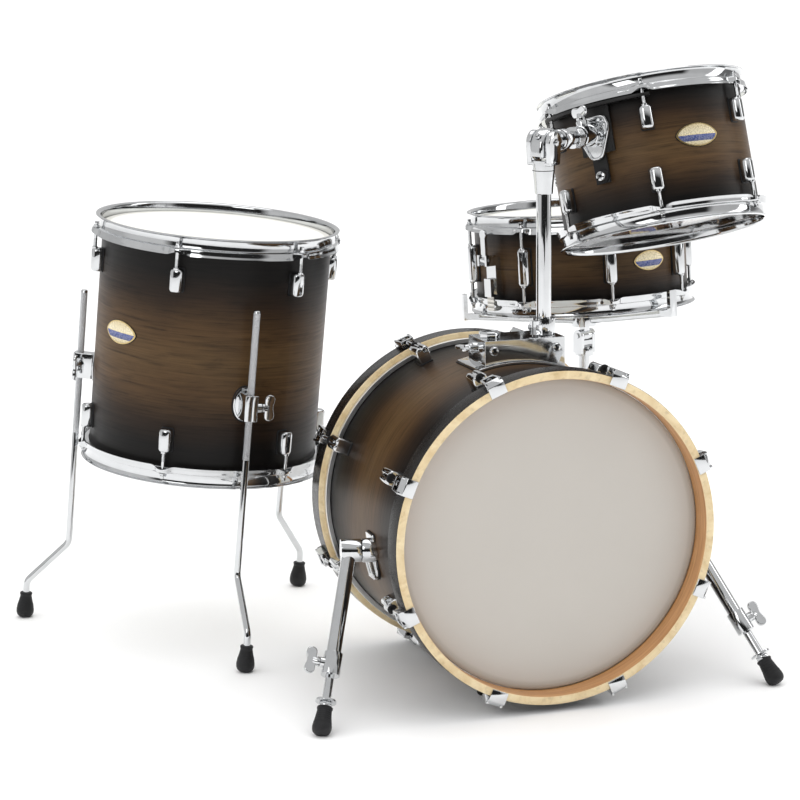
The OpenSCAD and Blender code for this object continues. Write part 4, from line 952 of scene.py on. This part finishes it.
bracket.add(boss, CHROME, [on_arm @ move(TOM_WING_AT, 0, 0)])
for y in (-19, 19):
    rivet = lathe([(0, 0), (4.8, 0), (4.8, 1.6), (3.6, 2.6), (0, 2.6)], 24)
    bracket.add(rivet, CHROME, [move(TOM_R + 14, y, KITE_Z + 14) @ turn("Y", 90)])
low_bolt = move(TOM_R + 9, 0, KITE_Z - 64) @ turn("Y", 90)
bracket.add(lathe([(0, -0.4), (11.5, -0.4), (11.5, 0.9), (10.8, 1.4), (0, 1.4)], 48), GASKET_AND_SHADE, [low_bolt])
bracket.add(lathe([(0, 1), (8, 1), (8, 4), (7, 6), (4.4, 7), (4.0, 6.4), (0, 6.4)], 48), CHROME, [low_bolt])
bracket.add(block((-2.4, 2.4), (-2.4, 2.4), (6, 8), 0.4), GASKET_AND_SHADE, [low_bolt])
bracket.add(rod(4, -7.4, 0.5, 0.4), SATIN, [low_bolt])
bracket.done(40)

at = ON_BASS @ move(MOUNT_MID - MOUNT_HALF - 8.5, 0, MOUNT_TOP - 14) @ turn("Y", -90) @ turn("Z", 90)
wing_piece("mount_wing", "mount_wing", at, 16.6, "mount_wing_bolt")
at = IN_TOM @ ALONG_ARM @ move(TOM_WING_AT, 0, 24.5) @ turn("Z", 60)
wing_piece("tom_wing", "tom_wing", at, 12.6, "tom_wing_bolt")


# ---- Floor, light and camera ----

bm = bmesh.new()
bmesh.ops.create_circle(bm, cap_ends=True, segments=96, radius=40)
mesh = bpy.data.meshes.new("floor")
bm.to_mesh(mesh)
bm.free()
floor = bpy.data.objects.new("floor", mesh)
bpy.context.scene.collection.objects.link(floor)
paper = Surface("paper")
cloud = paper.noise(3, detail=2)
paper.set(Base_Color=paper.mix(cloud, (0.90, 0.90, 0.90), (0.885, 0.885, 0.885)), Roughness=0.85)
mesh.materials.append(paper.material)


def area(name, at, aim, size, power):
    light = bpy.data.lights.new(name, "AREA")
    light.shape, light.size, light.size_y, light.energy = "RECTANGLE", *size, power
    obj = bpy.data.objects.new(name, light)
    obj.location = at
    obj.rotation_euler = (Vector(aim) - Vector(at)).to_track_quat("-Z", "Y").to_euler()
    bpy.context.scene.collection.objects.link(obj)


area("key", (-3.0, -3.2, 2.9), (0, 0, 0.4), (1.8, 2.2), 26)
area("top", (0.4, 0.4, 3.6), (0, 0, 0.5), (3.0, 2.4), 30)
area("side", (3.4, -0.6, 1.8), (0.2, 0, 0.5), (0.9, 2.4), 16)

world = bpy.data.worlds.new("studio")
bpy.context.scene.world = world
world.use_nodes = True
tree = world.node_tree
tree.nodes.clear()


def sky(kind, inputs=(), **settings):
    return add_node(tree, kind, inputs, **settings)


xyz = sky("SeparateXYZ", {0: sky("TexCoord").outputs["Generated"]})
bearing = sky("Math", {0: xyz.outputs[0],
                       1: sky("Math", {0: xyz.outputs[1], 1: -1.0}, operation="MULTIPLY").outputs[0]},
              operation="ARCTAN2").outputs[0]
around = sky("MapRange", {"Value": bearing, "From Min": -pi, "From Max": pi}).outputs[0]
walls = add_ramp(tree, around, [(0.0, 0.85), (0.17, 0.8), (0.19, 1.0), (0.31, 1.0), (0.34, 0.03),
                                (0.58, 0.03), (0.605, 0.8), (0.70, 0.8), (0.73, 0.25), (0.80, 0.25),
                                (0.84, 0.85), (1.0, 0.85)])
height = sky("MapRange", {"Value": xyz.outputs[2], "From Min": 0.42, "From Max": 0.60}).outputs[0]
room = sky("Mix", data_type="RGBA")
tree.links.new(height, room.inputs[0])
tree.links.new(walls, room.inputs[6])
room.inputs[7].default_value = (0.92, 0.92, 0.92, 1)
glow = sky("Background", {"Color": room.outputs[2], "Strength": 1.55})
mirrored = sky("Background", {"Color": room.outputs[2], "Strength": 0.72})
plain = sky("Background", {"Color": (1, 1, 1, 1), "Strength": 1.05})
# The camera sees plain white
rays = sky("LightPath").outputs
lit = sky("MixShader", {0: rays["Is Glossy Ray"], 1: glow.outputs[0], 2: mirrored.outputs[0]}).outputs[0]
seen = sky("MixShader", {0: rays["Is Camera Ray"], 1: lit, 2: plain.outputs[0]}).outputs[0]
sky("OutputWorld", {"Surface": seen})

camera = bpy.data.cameras.new("camera")
camera.lens, camera.sensor_width, camera.clip_start, camera.clip_end = 123.05, 36, 0.1, 100
eye_obj = bpy.data.objects.new("camera", camera)
eye_obj.location = (-1.3737, -3.9659, 1.2913)
eye_obj.rotation_euler = (radians(77.588), 0, radians(-18.832))
bpy.context.scene.collection.objects.link(eye_obj)
bpy.context.scene.camera = eye_obj
bpy.context.scene.view_settings.view_transform = "Standard"
